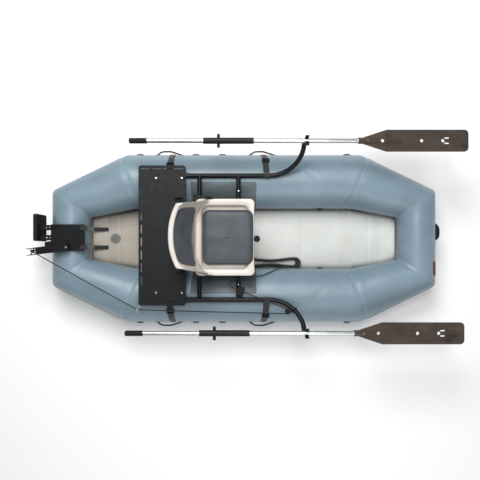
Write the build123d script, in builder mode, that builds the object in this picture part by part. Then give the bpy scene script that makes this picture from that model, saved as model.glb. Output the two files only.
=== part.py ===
from build123d import *
import os
from math import asin, cos, pi, radians, sin, sqrt, tan

# Inflatable dinghy with a clamp-on rowing frame, a fold-down seat, a stern motor mount and an anchor line.
# Millimetres. Origin on the ground under the hull's centre, +X towards the bow, +Y to port, +Z up.

os.makedirs("parts", exist_ok=True)

# ---------------------------------------------------------------- driving dimensions
# hull tubes: the side tubes are cylinders, the quarters cones and the bow and stern cylinders
side_radius = 178.0
side_offset = 378.0          # side tube centreline from the keel line
side_half_length = 735.0     # centre of the hull to the side tube's last full section
end_radius = 121.0
end_reach = 1140.5           # centre of the hull to the bow tube's centreline
end_half_width = 237.0
end_height = 222.0           # bow and stern tubes ride higher than the sides
skin = 1.2
band_thickness = 0.8
keel_gap = 8.0               # how far tapes and strakes stop above the ground
strake_height = 30.0
strake_thickness = 4.5
baffle_thickness = 2.0

# floor
floor_top = 110.0
floor_bottom = 12.0
floor_rise = 55.0            # how much the floor sweeps up to the bow and stern
floor_flat = 925.0           # where the sweep starts
floor_skin = 1.5
floor_gap = 1.0              # between the floor pad and the tubes
floor_valve_x = 89.0
drain_x = -874.0
drain_radius = 34.5

# air valves
valve_flange_radius = 29.0
valve_flange_thickness = 3.0
valve_neck_radius = 17.0
valve_bore_radius = 11.0
valve_ring_height = 6.0
valve_cap_radius = 21.0
valve_cap_height = 9.0
tube_valve_x = -520.0
tube_valve_angle = 140.0     # round the port tube from its outboard side, over the top

# handles and lacing points on the tubes
handle_stations = (-498.0, 121.0)
handle_half_length = 82.0
handle_reach = 30.0
handle_radius = 5.0
pad_thickness = 2.4
loop_stations = (-693.0, -321.0, -143.0, 690.0)
inner_loop_station = 508.0
loop_height = 9.0
loop_length = 16.0
loop_slot = 3.0
bow_handle_y = 42.0
bow_handle_length = 116.0
bow_handle_reach = 38.0

# rowing frame
rail_y = 395.0
rail_radius = 15.0
rail_wall = 1.6
rail_gap = 0.6               # between the rails and the tubes they lie on
rail_back = -640.0
arm_start = 155.0            # where the rail starts to sweep up and out to the oarlock
arm_radius = 215.0
arm_tilt = 32.0
bar_radius = 14.0
front_bar_x = -36.0
mid_bar_x = -284.0
deck_bar_stations = (-394.0, -558.0)
stub_length = 110.0
stub_wall = 1.5
fit_gap = 0.25               # clearance of a part that slides or sits in another
button_y = 297.0
button_radius = 4.0
button_proud = 2.5

# deck
deck_length = 297.0
deck_width = 886.0
deck_x = -519.5
deck_y = 14.0                # the deck is bolted on a little to port
deck_sheet = 3.0
deck_skirt = 22.0
deck_corner = 16.0
saddle_height = 6.5
deck_screw_y = 363.0

# fold-down seat
seat_half_width = 237.0
seat_front = 66.0
seat_rear = -303.0
seat_bottom = 425.0
seat_side_top = 492.0
seat_wall = 5.0
bolster = 43.0
cushion_length = 305.0
cushion_width = 333.0
cushion_rear = -253.0
cushion_top = 512.0
hinge_x = -215.0
hinge_z = 490.0
back_top = 785.0
back_wall = 6.0
back_bottom_mid = -322.0
back_top_mid = -428.0
back_top_corner = -382.0
back_top_half_width = 184.0
mount_y = 110.0
hinge_pin_radius = 4.0
running_gap = 0.06

# stern motor mount and anchor arm
platform_front = -1020.0
platform_back = -1276.0
platform_notch = -1237.0
platform_low_y = -83.0
platform_high_y = 86.0
platform_sheet = 6.0
board_front = -1303.0
board_thickness = 22.0
board_low = 235.0
board_high = 421.0
board_y = (-21.0, 150.0)
bracket_y = (1.0, 65.0)
bracket_width = 34.0
motor_strap_y = (-59.0, 63.0)
motor_strap_width = 25.0
webbing = 1.8
arm_bolt = (-1129.0, -61.0)
arm_turn = 187.0             # heading of the anchor arm, degrees from +X
arm_back = 18.0              # how far the arm runs forward of its bolt
arm_reach = 252.0
anchor_arm_width = 45.0
anchor_arm_height = 44.0
arm_sheet = 4.0

# anchor line and its fittings
rope_radius = 3.5
sheave_radius = 16.0
sheave_groove = 11.0
sheave_width = 11.0
sheave_pin_radius = 4.0
stern_sheave_reach = 214.0   # from the arm's bolt to the stern sheave
groove_play = 0.4
line_height = 400.0
fairlead = (-675.0, -458.0, 392.0)
block_centre = (276.0, -467.0)
block_height = 392.0
cleat_centre = (-16.0, -340.0)
hank_height = 26.0

# oars
oar_y = 586.0
oar_height = 530.0
oarlock_x = 382.0
oar_butt = -702.0
grip_length = 109.0
grip_radius = 17.0
shaft_radius = 14.0
shaft_wall = 1.6
sleeve_start = -250.0
sleeve_length = 308.0
sleeve_radius = 19.0
collar_x = -157.0
collar_thickness = 18.0
collar_lobe = 33.0
blade_start = 693.0
blade_length = 671.0
blade_width = 134.0
blade_shoulder = 172.0
blade_sheet = 5.0
blade_corner = 26.0
neck_radius = 20.0
starboard_oar_shift = -25.0
horn_gap = 0.7               # oar sleeve to oarlock
horn_wall = 9.0
horn_width = 22.0
lock_pin_radius = 6.35
socket_radius = 14.0
socket_height = 46.0

# ---------------------------------------------------------------- sizes that follow
side_corner = Vector(side_half_length, side_offset, side_radius)
end_corner = Vector(end_reach, end_half_width, end_height)
cone_axis = (end_corner - side_corner).normalized()
cone_length = (end_corner - side_corner).length
cone_half_angle = asin((side_radius - end_radius) / cone_length)
end_crest = end_height + end_radius
rail_lean = rail_y - side_offset
rail_z = side_radius + sqrt((side_radius + rail_gap + rail_radius) ** 2 - rail_lean**2)
deck_under = rail_z + rail_radius + saddle_height
deck_top = deck_under + deck_sheet


def write(piece, name):
    piece.part.label = name
    export_step(piece.part, f"parts/{name}.step")


def along(vector, distance):
    return vector.normalized() * distance


# ---------------------------------------------------------------- hull tubes
def mitre_plane(centre, radius, tube_direction):
    """Plane in which a round tube and the quarter cone meet, both tangent to one sphere."""
    apex = radius / sin(cone_half_angle)
    normal = cone_axis * apex + tube_direction * sqrt(apex**2 - radius**2)
    return Plane(origin=centre + normal * (radius / normal.length) ** 2, z_dir=normal)


side_mitre = mitre_plane(side_corner, side_radius, Vector(1, 0, 0))
end_mitre = mitre_plane(end_corner, end_radius, Vector(0, -1, 0))


def flipped(plane, x_sign, y_sign):
    """The same plane mirrored across the hull's centre planes."""
    origin, normal = plane.origin, plane.z_dir
    return Plane(
        origin=(x_sign * origin.X, y_sign * origin.Y, origin.Z),
        z_dir=(x_sign * normal.X, y_sign * normal.Y, normal.Z),
    )


def side_tube(low, high):
    """Port side tube, from one offset of its surface to another; low None makes it solid."""
    with BuildPart() as tube:
        with BuildSketch(Plane.YZ):
            with Locations((side_offset, side_radius)):
                Circle(side_radius + high)
                if low is not None:
                    Circle(side_radius + low, mode=Mode.SUBTRACT)
        extrude(amount=side_half_length + side_radius, both=True)
        split(bisect_by=side_mitre, keep=Keep.BOTTOM)
        split(bisect_by=flipped(side_mitre, -1, 1), keep=Keep.BOTTOM)
    return tube.part


def quarter_tube(low, high):
    """Port bow quarter, a cone between the two mitres."""
    start, end = -side_radius, cone_length + end_radius

    def radius(distance, offset):
        return (side_radius + offset) / cos(cone_half_angle) - distance * tan(cone_half_angle)

    inner = (0, 0) if low is None else (radius(start, low), radius(end, low))
    with BuildPart() as tube:
        with BuildSketch(Plane(origin=side_corner, x_dir=cone_axis, z_dir=(cone_axis.Y, -cone_axis.X, 0))):
            with BuildLine():
                Polyline(
                    (start, inner[0]),
                    (start, radius(start, high)),
                    (end, radius(end, high)),
                    (end, inner[1]),
                    close=True,
                )
            make_face()
        revolve(axis=Axis(side_corner, cone_axis))
        split(bisect_by=side_mitre, keep=Keep.TOP)
        split(bisect_by=end_mitre, keep=Keep.BOTTOM)
    return tube.part


def end_tube(low, high):
    """Bow tube, square across the keel line between the two end mitres."""
    with BuildPart() as tube:
        with BuildSketch(Plane.XZ):
            with Locations((end_reach, end_height)):
                Circle(end_radius + high)
                if low is not None:
                    Circle(end_radius + low, mode=Mode.SUBTRACT)
        extrude(amount=end_half_width + end_radius, both=True)
        split(bisect_by=end_mitre, keep=Keep.TOP)
        split(bisect_by=flipped(end_mitre, 1, -1), keep=Keep.TOP)
    return tube.part


def on_side_tube(x, angle, lift=0.0):
    """Plane on the port tube's surface; angle 0 faces outboard, 90 up, 180 inboard."""
    turn = radians(angle)
    reach = side_radius + lift
    return Plane(
        origin=(x, side_offset + reach * cos(turn), side_radius + reach * sin(turn)),
        x_dir=(1, 0, 0),
        z_dir=(0, cos(turn), sin(turn)),
    )


tube_valve_plane = on_side_tube(tube_valve_x, tube_valve_angle)

with BuildPart() as hull_sides:
    add(side_tube(-skin, 0))
    with Locations(tube_valve_plane):
        Cylinder(valve_neck_radius + fit_gap, 40, mode=Mode.SUBTRACT)
    mirror(about=Plane.XZ)
write(hull_sides, "hull_sides")

with BuildPart() as hull_quarters:
    add(quarter_tube(-skin, 0))
    mirror(about=Plane.XZ)
    mirror(about=Plane.YZ)
write(hull_quarters, "hull_quarters")

with BuildPart() as hull_ends:
    add(end_tube(-skin, 0))
    mirror(about=Plane.YZ)
write(hull_ends, "hull_ends")

with BuildPart() as chamber_baffles:
    with BuildSketch(Plane.XZ):
        with Locations((end_reach, end_height), (-end_reach, end_height)):
            Circle(end_radius - skin - fit_gap)
    extrude(amount=baffle_thickness / 2, both=True)
write(chamber_baffles, "chamber_baffles")


# ---------------------------------------------------------------- tapes and strakes



with BuildPart() as quarter_strake:
    add(quarter_tube(band_thickness, band_thickness + strake_thickness))
    outboard = Vector(0, 0, 1).cross(cone_axis)
    quarter_top = side_corner + along(outboard, side_radius)
    with Locations(Plane(origin=quarter_top, x_dir=cone_axis, z_dir=outboard)):
        Box(3 * cone_length, strake_height, 2 * side_radius, mode=Mode.INTERSECT)

with BuildPart() as end_strake:
    add(end_tube(band_thickness, band_thickness + strake_thickness))
    with Locations((end_reach + end_radius, 0, end_height)):
        Box(end_radius, 4 * end_half_width, strake_height, mode=Mode.INTERSECT)

with BuildPart() as rub_strakes:
    add(quarter_strake.part)
    mirror(about=Plane.XZ)
    add(end_strake.part)
    mirror(about=Plane.YZ)
write(rub_strakes, "rub_strakes")


# ---------------------------------------------------------------- floor
joint_step = 0.6                          # the quarters' welds stand a little proud of the side tubes


def floor_slice(low, high, gap):
    """Quarter of a layer of the floor between two heights, cut to fit between the tubes."""
    run_out = end_reach - end_radius / 2
    with BuildPart() as layer:
        with BuildSketch(Plane.XZ):
            with BuildLine():
                Polyline(
                    (0, low),
                    (side_half_length, low),
                    (end_reach, low + end_height - end_radius),
                    (end_reach, high + floor_rise),
                    (run_out, high + floor_rise),
                    (floor_flat, high),
                    (0, high),
                    close=True,
                )
            make_face()
        extrude(amount=-side_offset)
        with BuildSketch():
            with BuildLine():
                Polyline(
                    (0, 0),
                    (0, side_offset),
                    (side_half_length, side_offset),
                    (end_reach, end_half_width),
                    (end_reach, 0),
                    close=True,
                )
            make_face()
        extrude(amount=end_crest, mode=Mode.INTERSECT)
        add(side_tube(None, gap), mode=Mode.SUBTRACT)
        add(quarter_tube(None, gap + joint_step), mode=Mode.SUBTRACT)
        add(end_tube(None, gap + joint_step), mode=Mode.SUBTRACT)
    return layer.part.solids().sort_by(SortBy.VOLUME)[-1]


with BuildPart() as pad_space:
    add(floor_slice(floor_bottom + floor_skin, floor_top - floor_skin, floor_gap + floor_skin))
    mirror(about=Plane.XZ)
    mirror(about=Plane.YZ)

with BuildPart() as floor_pad:
    add(floor_slice(floor_bottom, floor_top, floor_gap))
    mirror(about=Plane.XZ)
    mirror(about=Plane.YZ)
    add(pad_space.part, mode=Mode.SUBTRACT)
    with Locations((floor_valve_x, 0, floor_top)):
        Cylinder(valve_neck_radius + fit_gap, 4 * floor_skin, mode=Mode.SUBTRACT)
write(floor_pad, "floor_pad")


# ---------------------------------------------------------------- air valves and drain
floor_valve_plane = Plane(origin=(floor_valve_x, 0, floor_top), x_dir=(1, 0, 0), z_dir=(0, 0, 1))


def valve_body():
    """Screw-in valve: neck through the skin, flange on it and a raised threaded ring."""
    with BuildPart() as valve:
        with Locations((0, 0, fit_gap)):
            Cylinder(
                valve_flange_radius,
                valve_flange_thickness,
                align=(Align.CENTER, Align.CENTER, Align.MIN),
            )
        with Locations((0, 0, fit_gap + valve_flange_thickness)):
            Cylinder(valve_neck_radius, valve_ring_height, align=(Align.CENTER, Align.CENTER, Align.MIN))
        with Locations((0, 0, fit_gap)):
            Cylinder(valve_neck_radius, 20, align=(Align.CENTER, Align.CENTER, Align.MAX))
        Cylinder(valve_bore_radius, 60, mode=Mode.SUBTRACT)
    return valve.part


def valve_cap():
    """Cap with a gripping rim that drops over the valve's threaded ring."""
    base = 2 * fit_gap + valve_flange_thickness
    with BuildPart() as cap:
        with Locations((0, 0, base)):
            Cylinder(valve_cap_radius, valve_cap_height, align=(Align.CENTER, Align.CENTER, Align.MIN))
            Cylinder(
                valve_neck_radius + fit_gap,
                valve_ring_height,
                align=(Align.CENTER, Align.CENTER, Align.MIN),
                mode=Mode.SUBTRACT,
            )
        fillet(cap.edges().group_by(Axis.Z)[-1], 1.5)
        with Locations((0, 0, base + valve_cap_height)):
            Box(1.6 * valve_cap_radius, 5, 4, align=(Align.CENTER, Align.CENTER, Align.MIN))
    return cap.part


with BuildPart() as tube_valve:
    add(tube_valve_plane * valve_body())
    mirror(about=Plane.XZ)

with BuildPart() as air_valves:
    add(floor_valve_plane * valve_body())
    add(tube_valve.part)
write(air_valves, "air_valves")

with BuildPart() as floor_valve_cap:
    add(floor_valve_plane * valve_cap())
write(floor_valve_cap, "floor_valve_cap")

with BuildPart() as tube_valve_cap_port:
    add(tube_valve_plane * valve_cap())
write(tube_valve_cap_port, "tube_valve_cap_port")

with BuildPart() as tube_valve_cap_starboard:
    mirror(objects=tube_valve_cap_port.part, about=Plane.XZ)
write(tube_valve_cap_starboard, "tube_valve_cap_starboard")

with BuildPart() as drain_valve:
    with Locations((drain_x, 0, floor_top + fit_gap)):
        Cylinder(drain_radius, 4, align=(Align.CENTER, Align.CENTER, Align.MIN))
        with PolarLocations(drain_radius - 6, 12):
            Cylinder(2, 10, align=(Align.CENTER, Align.CENTER, Align.MIN), mode=Mode.SUBTRACT)
    fillet(drain_valve.edges().group_by(Axis.Z)[-1].sort_by(SortBy.LENGTH)[-1], 1.5)
write(drain_valve, "drain_valve")


# ---------------------------------------------------------------- handles and lacing points
def side_pad(x, angle, length, height):
    """Welded patch of sheet that follows the port tube's surface."""
    with BuildPart() as pad:
        add(side_tube(fit_gap, pad_thickness))
        with Locations(on_side_tube(x, angle)):
            Box(length, height, side_radius / 2, mode=Mode.INTERSECT)
    return pad.part


with BuildPart() as grab_handles:
    for station in handle_stations:
        surface = side_offset + side_radius
        middle = (station, surface, side_radius)
        with BuildLine(Plane(origin=middle, x_dir=(1, 0, 0), z_dir=(0, 0, 1))) as grip_path:
            FilletPolyline(
                (-handle_half_length, pad_thickness),
                (-0.6 * handle_half_length, handle_reach - handle_radius),
                (0.1 * handle_half_length, handle_reach - handle_radius + 1),
                (handle_half_length, pad_thickness),
                radius=45,
            )
        with BuildSketch(grip_path.line ^ 0):
            Circle(handle_radius)
        sweep(path=grip_path.line)
    split(bisect_by=Plane.XZ.offset(-side_offset - side_radius - pad_thickness / 2), keep=Keep.BOTTOM)
    for station in handle_stations:
        add(side_pad(station - handle_half_length, 0, 34, 36))
        add(side_pad(station + handle_half_length, 0, 34, 36))
    mirror(about=Plane.XZ)
write(grab_handles, "grab_handles")

with BuildPart() as tie_down_loops:
    for station in loop_stations:
        add(side_pad(station, 0, 60, 40))
        surface = side_offset + side_radius + loop_height / 2
        for side in (-1, 1):
            with Locations((station + side * (loop_length + loop_slot) / 2, surface, side_radius)):
                Box(loop_length, loop_height, loop_length)
    add(side_pad(inner_loop_station, 180, 46, 34))
    with Locations((inner_loop_station, side_offset - side_radius - loop_height / 2, side_radius)):
        Box(loop_length, loop_height, loop_length)
    mirror(about=Plane.XZ)
write(tie_down_loops, "tie_down_loops")

with BuildPart() as bow_handle:
    face_x = end_reach + end_radius + band_thickness + strake_thickness + fit_gap
    with BuildSketch(Plane(origin=(face_x, bow_handle_y, end_height), x_dir=(1, 0, 0), z_dir=(0, 0, 1))):
        with BuildLine():
            Polyline(
                (0, -bow_handle_length / 2),
                (bow_handle_reach, -bow_handle_length / 4),
                (bow_handle_reach, bow_handle_length / 4),
                (0, bow_handle_length / 2),
                close=True,
            )
        make_face()
        with Locations((bow_handle_reach / 2 + 1, 0)):
            Rectangle(bow_handle_reach - 22, bow_handle_length / 2, mode=Mode.SUBTRACT)
    extrude(amount=14, both=True)
    fillet(bow_handle.edges().filter_by(Axis.Z), 5)
write(bow_handle, "bow_handle")

# ---------------------------------------------------------------- rowing frame
lift_direction = Vector(0, cos(radians(arm_tilt)), sin(radians(arm_tilt)))
arm_base = Vector(arm_start, rail_y, rail_z)
arm_end = arm_base + (lift_direction + Vector(1, 0, 0)) * arm_radius
lock_floor = oar_height - sleeve_radius - horn_gap - horn_wall
flange_thickness = 2.0
socket_top = lock_floor - flange_thickness - 2 * fit_gap



def arm_point(turn):
    """Point on the rail's bent arm, by how far the arm has turned from straight ahead."""
    bulge = lift_direction * (1 - cos(turn)) + Vector(1, 0, 0) * sin(turn)
    return arm_base + bulge * arm_radius


bore_turn = radians(70)                   # past this the arm is solid, to carry the oarlock's socket

with BuildPart() as side_rail_port:
    with BuildLine() as rail_path:
        Line((rail_back, rail_y, rail_z), arm_base)
        ThreePointArc(arm_base, arm_point(pi / 4), arm_end)
    with BuildSketch(Plane(origin=(rail_back, rail_y, rail_z), z_dir=(1, 0, 0))):
        Circle(rail_radius)
    sweep(path=rail_path.line)
    with BuildLine() as bore_path:
        Line((rail_back, rail_y, rail_z), arm_base)
        ThreePointArc(arm_base, arm_point(bore_turn / 2), arm_point(bore_turn))
    with BuildSketch(Plane(origin=(rail_back, rail_y, rail_z), z_dir=(1, 0, 0))):
        Circle(rail_radius - rail_wall)
    sweep(path=bore_path.line, mode=Mode.SUBTRACT)
    with Locations((oarlock_x, oar_y, socket_top - socket_height / 2)):
        Cylinder(socket_radius, socket_height)
    with Locations((oarlock_x, oar_y, socket_top - socket_height / 2)):
        Cylinder(lock_pin_radius + 2.2, 2 * socket_height, mode=Mode.SUBTRACT)
    with Locations(Plane(origin=(front_bar_x, rail_y - rail_radius, rail_z), z_dir=(0, -1, 0))):
        with Locations((0, 0, stub_length / 2 - 4)):
            Cylinder(bar_radius - stub_wall - fit_gap, stub_length)
            Cylinder(bar_radius - 2 * stub_wall - fit_gap, stub_length, mode=Mode.SUBTRACT)
    with Locations((front_bar_x, button_y, rail_z + bar_radius)):
        Cylinder(button_radius + fit_gap, 2 * bar_radius, mode=Mode.SUBTRACT)
write(side_rail_port, "side_rail_port")

with BuildPart() as side_rail_starboard:
    mirror(objects=side_rail_port.part, about=Plane.XZ)
write(side_rail_starboard, "side_rail_starboard")


def cross_bar(x, wall=stub_wall):
    """Tube across the boat, coped to sit against both rails."""
    with BuildPart() as bar:
        with BuildSketch(Plane.XZ):
            with Locations((x, rail_z)):
                Circle(bar_radius)
                Circle(bar_radius - wall, mode=Mode.SUBTRACT)
        extrude(amount=rail_y, both=True)
        for side in (-1, 1):
            with Locations(Plane(origin=(x, side * rail_y, rail_z), z_dir=(1, 0, 0))):
                Cylinder(rail_radius + fit_gap, 6 * bar_radius, mode=Mode.SUBTRACT)
    return bar.part.solids().sort_by(SortBy.VOLUME)[-1]


with BuildPart() as cross_bar_front:
    add(cross_bar(front_bar_x))
    with Locations(*[(front_bar_x, side * button_y, rail_z + bar_radius) for side in (-1, 1)]):
        Cylinder(button_radius + fit_gap, bar_radius, mode=Mode.SUBTRACT)
write(cross_bar_front, "cross_bar_front")

with BuildPart() as cross_bar_mid:
    add(cross_bar(mid_bar_x))
write(cross_bar_mid, "cross_bar_mid")

deck_screws = [(x, deck_y + side * deck_screw_y) for x in deck_bar_stations for side in (-1, 1)]
screw_radius = 3.0

with BuildPart() as deck_bars:
    for station in deck_bar_stations:
        add(cross_bar(station))
    with Locations(*[(x, y, rail_z + bar_radius) for x, y in deck_screws]):
        Cylinder(screw_radius + fit_gap, bar_radius, mode=Mode.SUBTRACT)
write(deck_bars, "deck_bars")


def snap_button(side):
    """Domed button that stands through the stub and the bar, with a head inside to hold it."""
    top = rail_z + bar_radius + button_proud
    head_radius = button_radius + 2
    stub_inside = bar_radius - 2 * stub_wall - fit_gap
    inside = rail_z + sqrt(stub_inside**2 - head_radius**2) - fit_gap
    with BuildPart() as button:
        with Locations((front_bar_x, side * button_y, 0)):
            with Locations((0, 0, inside)):
                Cylinder(button_radius, top - inside, align=(Align.CENTER, Align.CENTER, Align.MIN))
                Cylinder(head_radius, 2, align=(Align.CENTER, Align.CENTER, Align.MAX))
        fillet(button.edges().group_by(Axis.Z)[-1], 1.5)
    return button.part


with BuildPart() as snap_button_port:
    add(snap_button(1))
write(snap_button_port, "snap_button_port")

with BuildPart() as snap_button_starboard:
    add(snap_button(-1))
write(snap_button_starboard, "snap_button_starboard")

with BuildPart() as frame_plastics:
    for side in (-1, 1):
        with Locations(Plane(origin=(rail_back, side * rail_y, rail_z), z_dir=(-1, 0, 0))):
            Cylinder(rail_radius, 4, align=(Align.CENTER, Align.CENTER, Align.MIN))
            Cylinder(
                rail_radius - rail_wall - fit_gap, 18, align=(Align.CENTER, Align.CENTER, Align.MAX)
            )
        for station in deck_bar_stations:
            with Locations((station + 12, side * (rail_y + 4), deck_under - fit_gap / 2)):
                Box(70, 22, saddle_height - 2, align=(Align.CENTER, Align.CENTER, Align.MAX))
write(frame_plastics, "frame_plastics")

# ---------------------------------------------------------------- oarlocks
with BuildPart() as port_bushing:
    with Locations((oarlock_x, oar_y, socket_top + fit_gap)):
        Cylinder(lock_pin_radius + 2, socket_height + fit_gap, align=(Align.CENTER, Align.CENTER, Align.MAX))
        Cylinder(socket_radius, flange_thickness, align=(Align.CENTER, Align.CENTER, Align.MIN))
    with Locations((oarlock_x, oar_y, socket_top)):
        Cylinder(lock_pin_radius + running_gap, 4 * socket_height, mode=Mode.SUBTRACT)

with BuildPart() as oarlock_bushings:
    add(port_bushing.part)
    mirror(about=Plane.XZ)
write(oarlock_bushings, "oarlock_bushings")

horn_inner = sleeve_radius + horn_gap
horn_outer = horn_inner + horn_wall

with BuildPart() as oarlock_port:
    with BuildSketch(Plane(origin=(oarlock_x, oar_y, oar_height), x_dir=(0, 1, 0), z_dir=(1, 0, 0))):
        Circle(horn_outer)
        with Locations((0, horn_outer / 2)):
            Rectangle(2 * horn_outer, horn_outer, mode=Mode.SUBTRACT)
        for side in (-1, 1):
            with Locations((side * (horn_inner + horn_wall / 2), 0)):
                Rectangle(horn_wall, 1.5 * horn_inner, align=(Align.CENTER, Align.MIN))
            with Locations((side * (horn_inner + horn_wall / 2), 1.5 * horn_inner)):
                Circle(horn_wall / 2)
        Circle(horn_inner, mode=Mode.SUBTRACT)
    extrude(amount=horn_width / 2, both=True)
    shoulder_top = lock_floor + horn_wall / 2
    shoulder_low = socket_top + flange_thickness + 2 * fit_gap
    with Locations((oarlock_x, oar_y, shoulder_top)):
        Cylinder(
            socket_radius - 2,
            shoulder_top - shoulder_low,
            align=(Align.CENTER, Align.CENTER, Align.MAX),
        )
        Cylinder(
            lock_pin_radius,
            shoulder_top - socket_top + socket_height + 12,
            align=(Align.CENTER, Align.CENTER, Align.MAX),
        )
    with Locations((oarlock_x, oar_y, socket_top - socket_height - 3)):
        Cylinder(lock_pin_radius + 4, 3, align=(Align.CENTER, Align.CENTER, Align.MAX))
    with Locations((oarlock_x, oar_y, oar_height)):
        with Locations(Plane(origin=(0, 0, 0), z_dir=(1, 0, 0))):
            Cylinder(horn_inner, 2 * horn_width, mode=Mode.SUBTRACT)
write(oarlock_port, "oarlock_port")

with BuildPart() as oarlock_starboard:
    mirror(objects=oarlock_port.part, about=Plane.XZ)
write(oarlock_starboard, "oarlock_starboard")

# ---------------------------------------------------------------- oars
collar_gap = 0.05


def oar_pieces(side, shift):
    """Grip, shaft, sleeve with its stop collar, and blade of one oar."""
    neck = blade_start + shift
    socket = 60.0

    def across(x):
        return Plane(origin=(x, side * oar_y, oar_height), x_dir=(0, side, 0), z_dir=(1, 0, 0))

    low = (Align.CENTER, Align.CENTER, Align.MIN)
    with BuildPart() as grip:
        with BuildSketch(across(oar_butt + shift)):
            Circle(grip_radius)
        extrude(amount=grip_length)
        fillet(grip.edges().group_by(Axis.X)[0], grip_radius / 2)
        with Locations(across(oar_butt + shift + 12)):
            Cylinder(shaft_radius + collar_gap, grip_length, align=low, mode=Mode.SUBTRACT)
    with BuildPart() as shaft:
        with BuildSketch(across(oar_butt + shift + 13)):
            Circle(shaft_radius)
            Circle(shaft_radius - shaft_wall, mode=Mode.SUBTRACT)
        extrude(amount=neck + socket - 1 - (oar_butt + shift + 13))
    with BuildPart() as sleeve:
        with BuildSketch(across(sleeve_start + shift)):
            Circle(sleeve_radius)
            Circle(shaft_radius + collar_gap, mode=Mode.SUBTRACT)
        extrude(amount=sleeve_length)
        with BuildSketch(across(collar_x + shift - collar_thickness / 2)):
            Circle(sleeve_radius + 6)
            for lobe in (-1, 1):
                with Locations((lobe * collar_lobe, 0)):
                    Circle(9)
                with Locations((lobe * collar_lobe / 2, 0)):
                    Rectangle(collar_lobe, 16)
            Circle(shaft_radius + collar_gap, mode=Mode.SUBTRACT)
        extrude(amount=collar_thickness)
    with BuildPart() as blade:
        blade_plane = Plane(origin=(neck, side * oar_y, oar_height), x_dir=(1, 0, 0), z_dir=(0, 0, 1))
        half = blade_width / 2
        with BuildSketch(blade_plane):
            with BuildLine():
                Polyline(
                    (30, -neck_radius),
                    (blade_shoulder, -half),
                    (blade_length, -half),
                    (blade_length, half),
                    (blade_shoulder, half),
                    (30, neck_radius),
                    close=True,
                )
            outline = make_face()
            fillet(outline.vertices().group_by(Axis.X)[-1], blade_corner)
            fillet(outline.vertices().group_by(Axis.X)[1], 60)
            with Locations((148, 0), (386, 0), (515, 0)):
                Circle(10, mode=Mode.SUBTRACT)
            with Locations((538, -16), (538, 16)):
                SlotOverall(28, 8, mode=Mode.SUBTRACT)
        extrude(amount=blade_sheet / 2, both=True)
        with BuildSketch(across(neck)):
            Circle(neck_radius)
        with BuildSketch(across(neck + 120)):
            with Locations((0, 0)):
                Ellipse(16, 7)
        loft()
        with BuildSketch(blade_plane):
            with Locations(((120 + blade_length - 40) / 2, 0)):
                SlotOverall(blade_length - 150, 18)
            with Locations((148, 0), (386, 0), (515, 0)):
                Circle(10, mode=Mode.SUBTRACT)
        extrude(amount=blade_sheet, both=True)
        with Locations(across(neck - 5)):
            Cylinder(shaft_radius + collar_gap, socket + 5, align=low, mode=Mode.SUBTRACT)
    return grip, shaft, sleeve, blade


for side_name, side, shift in (("port", 1, 0), ("starboard", -1, starboard_oar_shift)):
    for part_name, piece in zip(("grip", "shaft", "sleeve", "blade"), oar_pieces(side, shift)):
        write(piece, f"oar_{part_name}_{side_name}")

# ---------------------------------------------------------------- deck
rail_notch = 2 * (rail_radius + 3)

with BuildPart() as deck_tray:
    with BuildSketch(Plane.XY.offset(deck_top)):
        with Locations((deck_x, deck_y)):
            RectangleRounded(deck_length, deck_width, deck_corner)
    extrude(amount=-deck_skirt)
    with BuildSketch(Plane.XY.offset(deck_under)):
        with Locations((deck_x, deck_y)):
            RectangleRounded(
                deck_length - 2 * deck_sheet, deck_width - 2 * deck_sheet, deck_corner - deck_sheet
            )
    extrude(amount=-deck_skirt, mode=Mode.SUBTRACT)
    fillet(deck_tray.edges().group_by(Axis.Z)[-1], 1.5)
    with Locations(*[(deck_x + deck_length / 2, side * rail_y, deck_under) for side in (-1, 1)]):
        Box(
            30,
            rail_notch,
            2 * deck_skirt,
            align=(Align.CENTER, Align.CENTER, Align.MAX),
            mode=Mode.SUBTRACT,
        )
    with BuildSketch(Plane.XY.offset(deck_top)):
        for side in (-1, 1):
            with Locations((deck_x, deck_y + side * (deck_width / 2 - 22))):
                with GridLocations(70, 1, 4, 1):
                    SlotOverall(57, 8)
            with Locations((-410, deck_y + side * 225)):
                Rectangle(55, 30)
        with Locations((deck_x - deck_length / 2 + 18, deck_y)):
            with GridLocations(1, 82, 1, 8):
                SlotOverall(55, 8, rotation=90)
        with Locations(*deck_screws):
            Circle(screw_radius + fit_gap)
    extrude(amount=-2 * deck_sheet, mode=Mode.SUBTRACT)
write(deck_tray, "deck_tray")

# ---------------------------------------------------------------- fold-down seat
seat_length = seat_front - seat_rear
seat_x = (seat_front + seat_rear) / 2
pocket_floor = seat_side_top - 26
seat_screws = [(x, side * mount_y) for x in (mid_bar_x + 40, front_bar_x - 40) for side in (-1, 1)]

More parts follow.
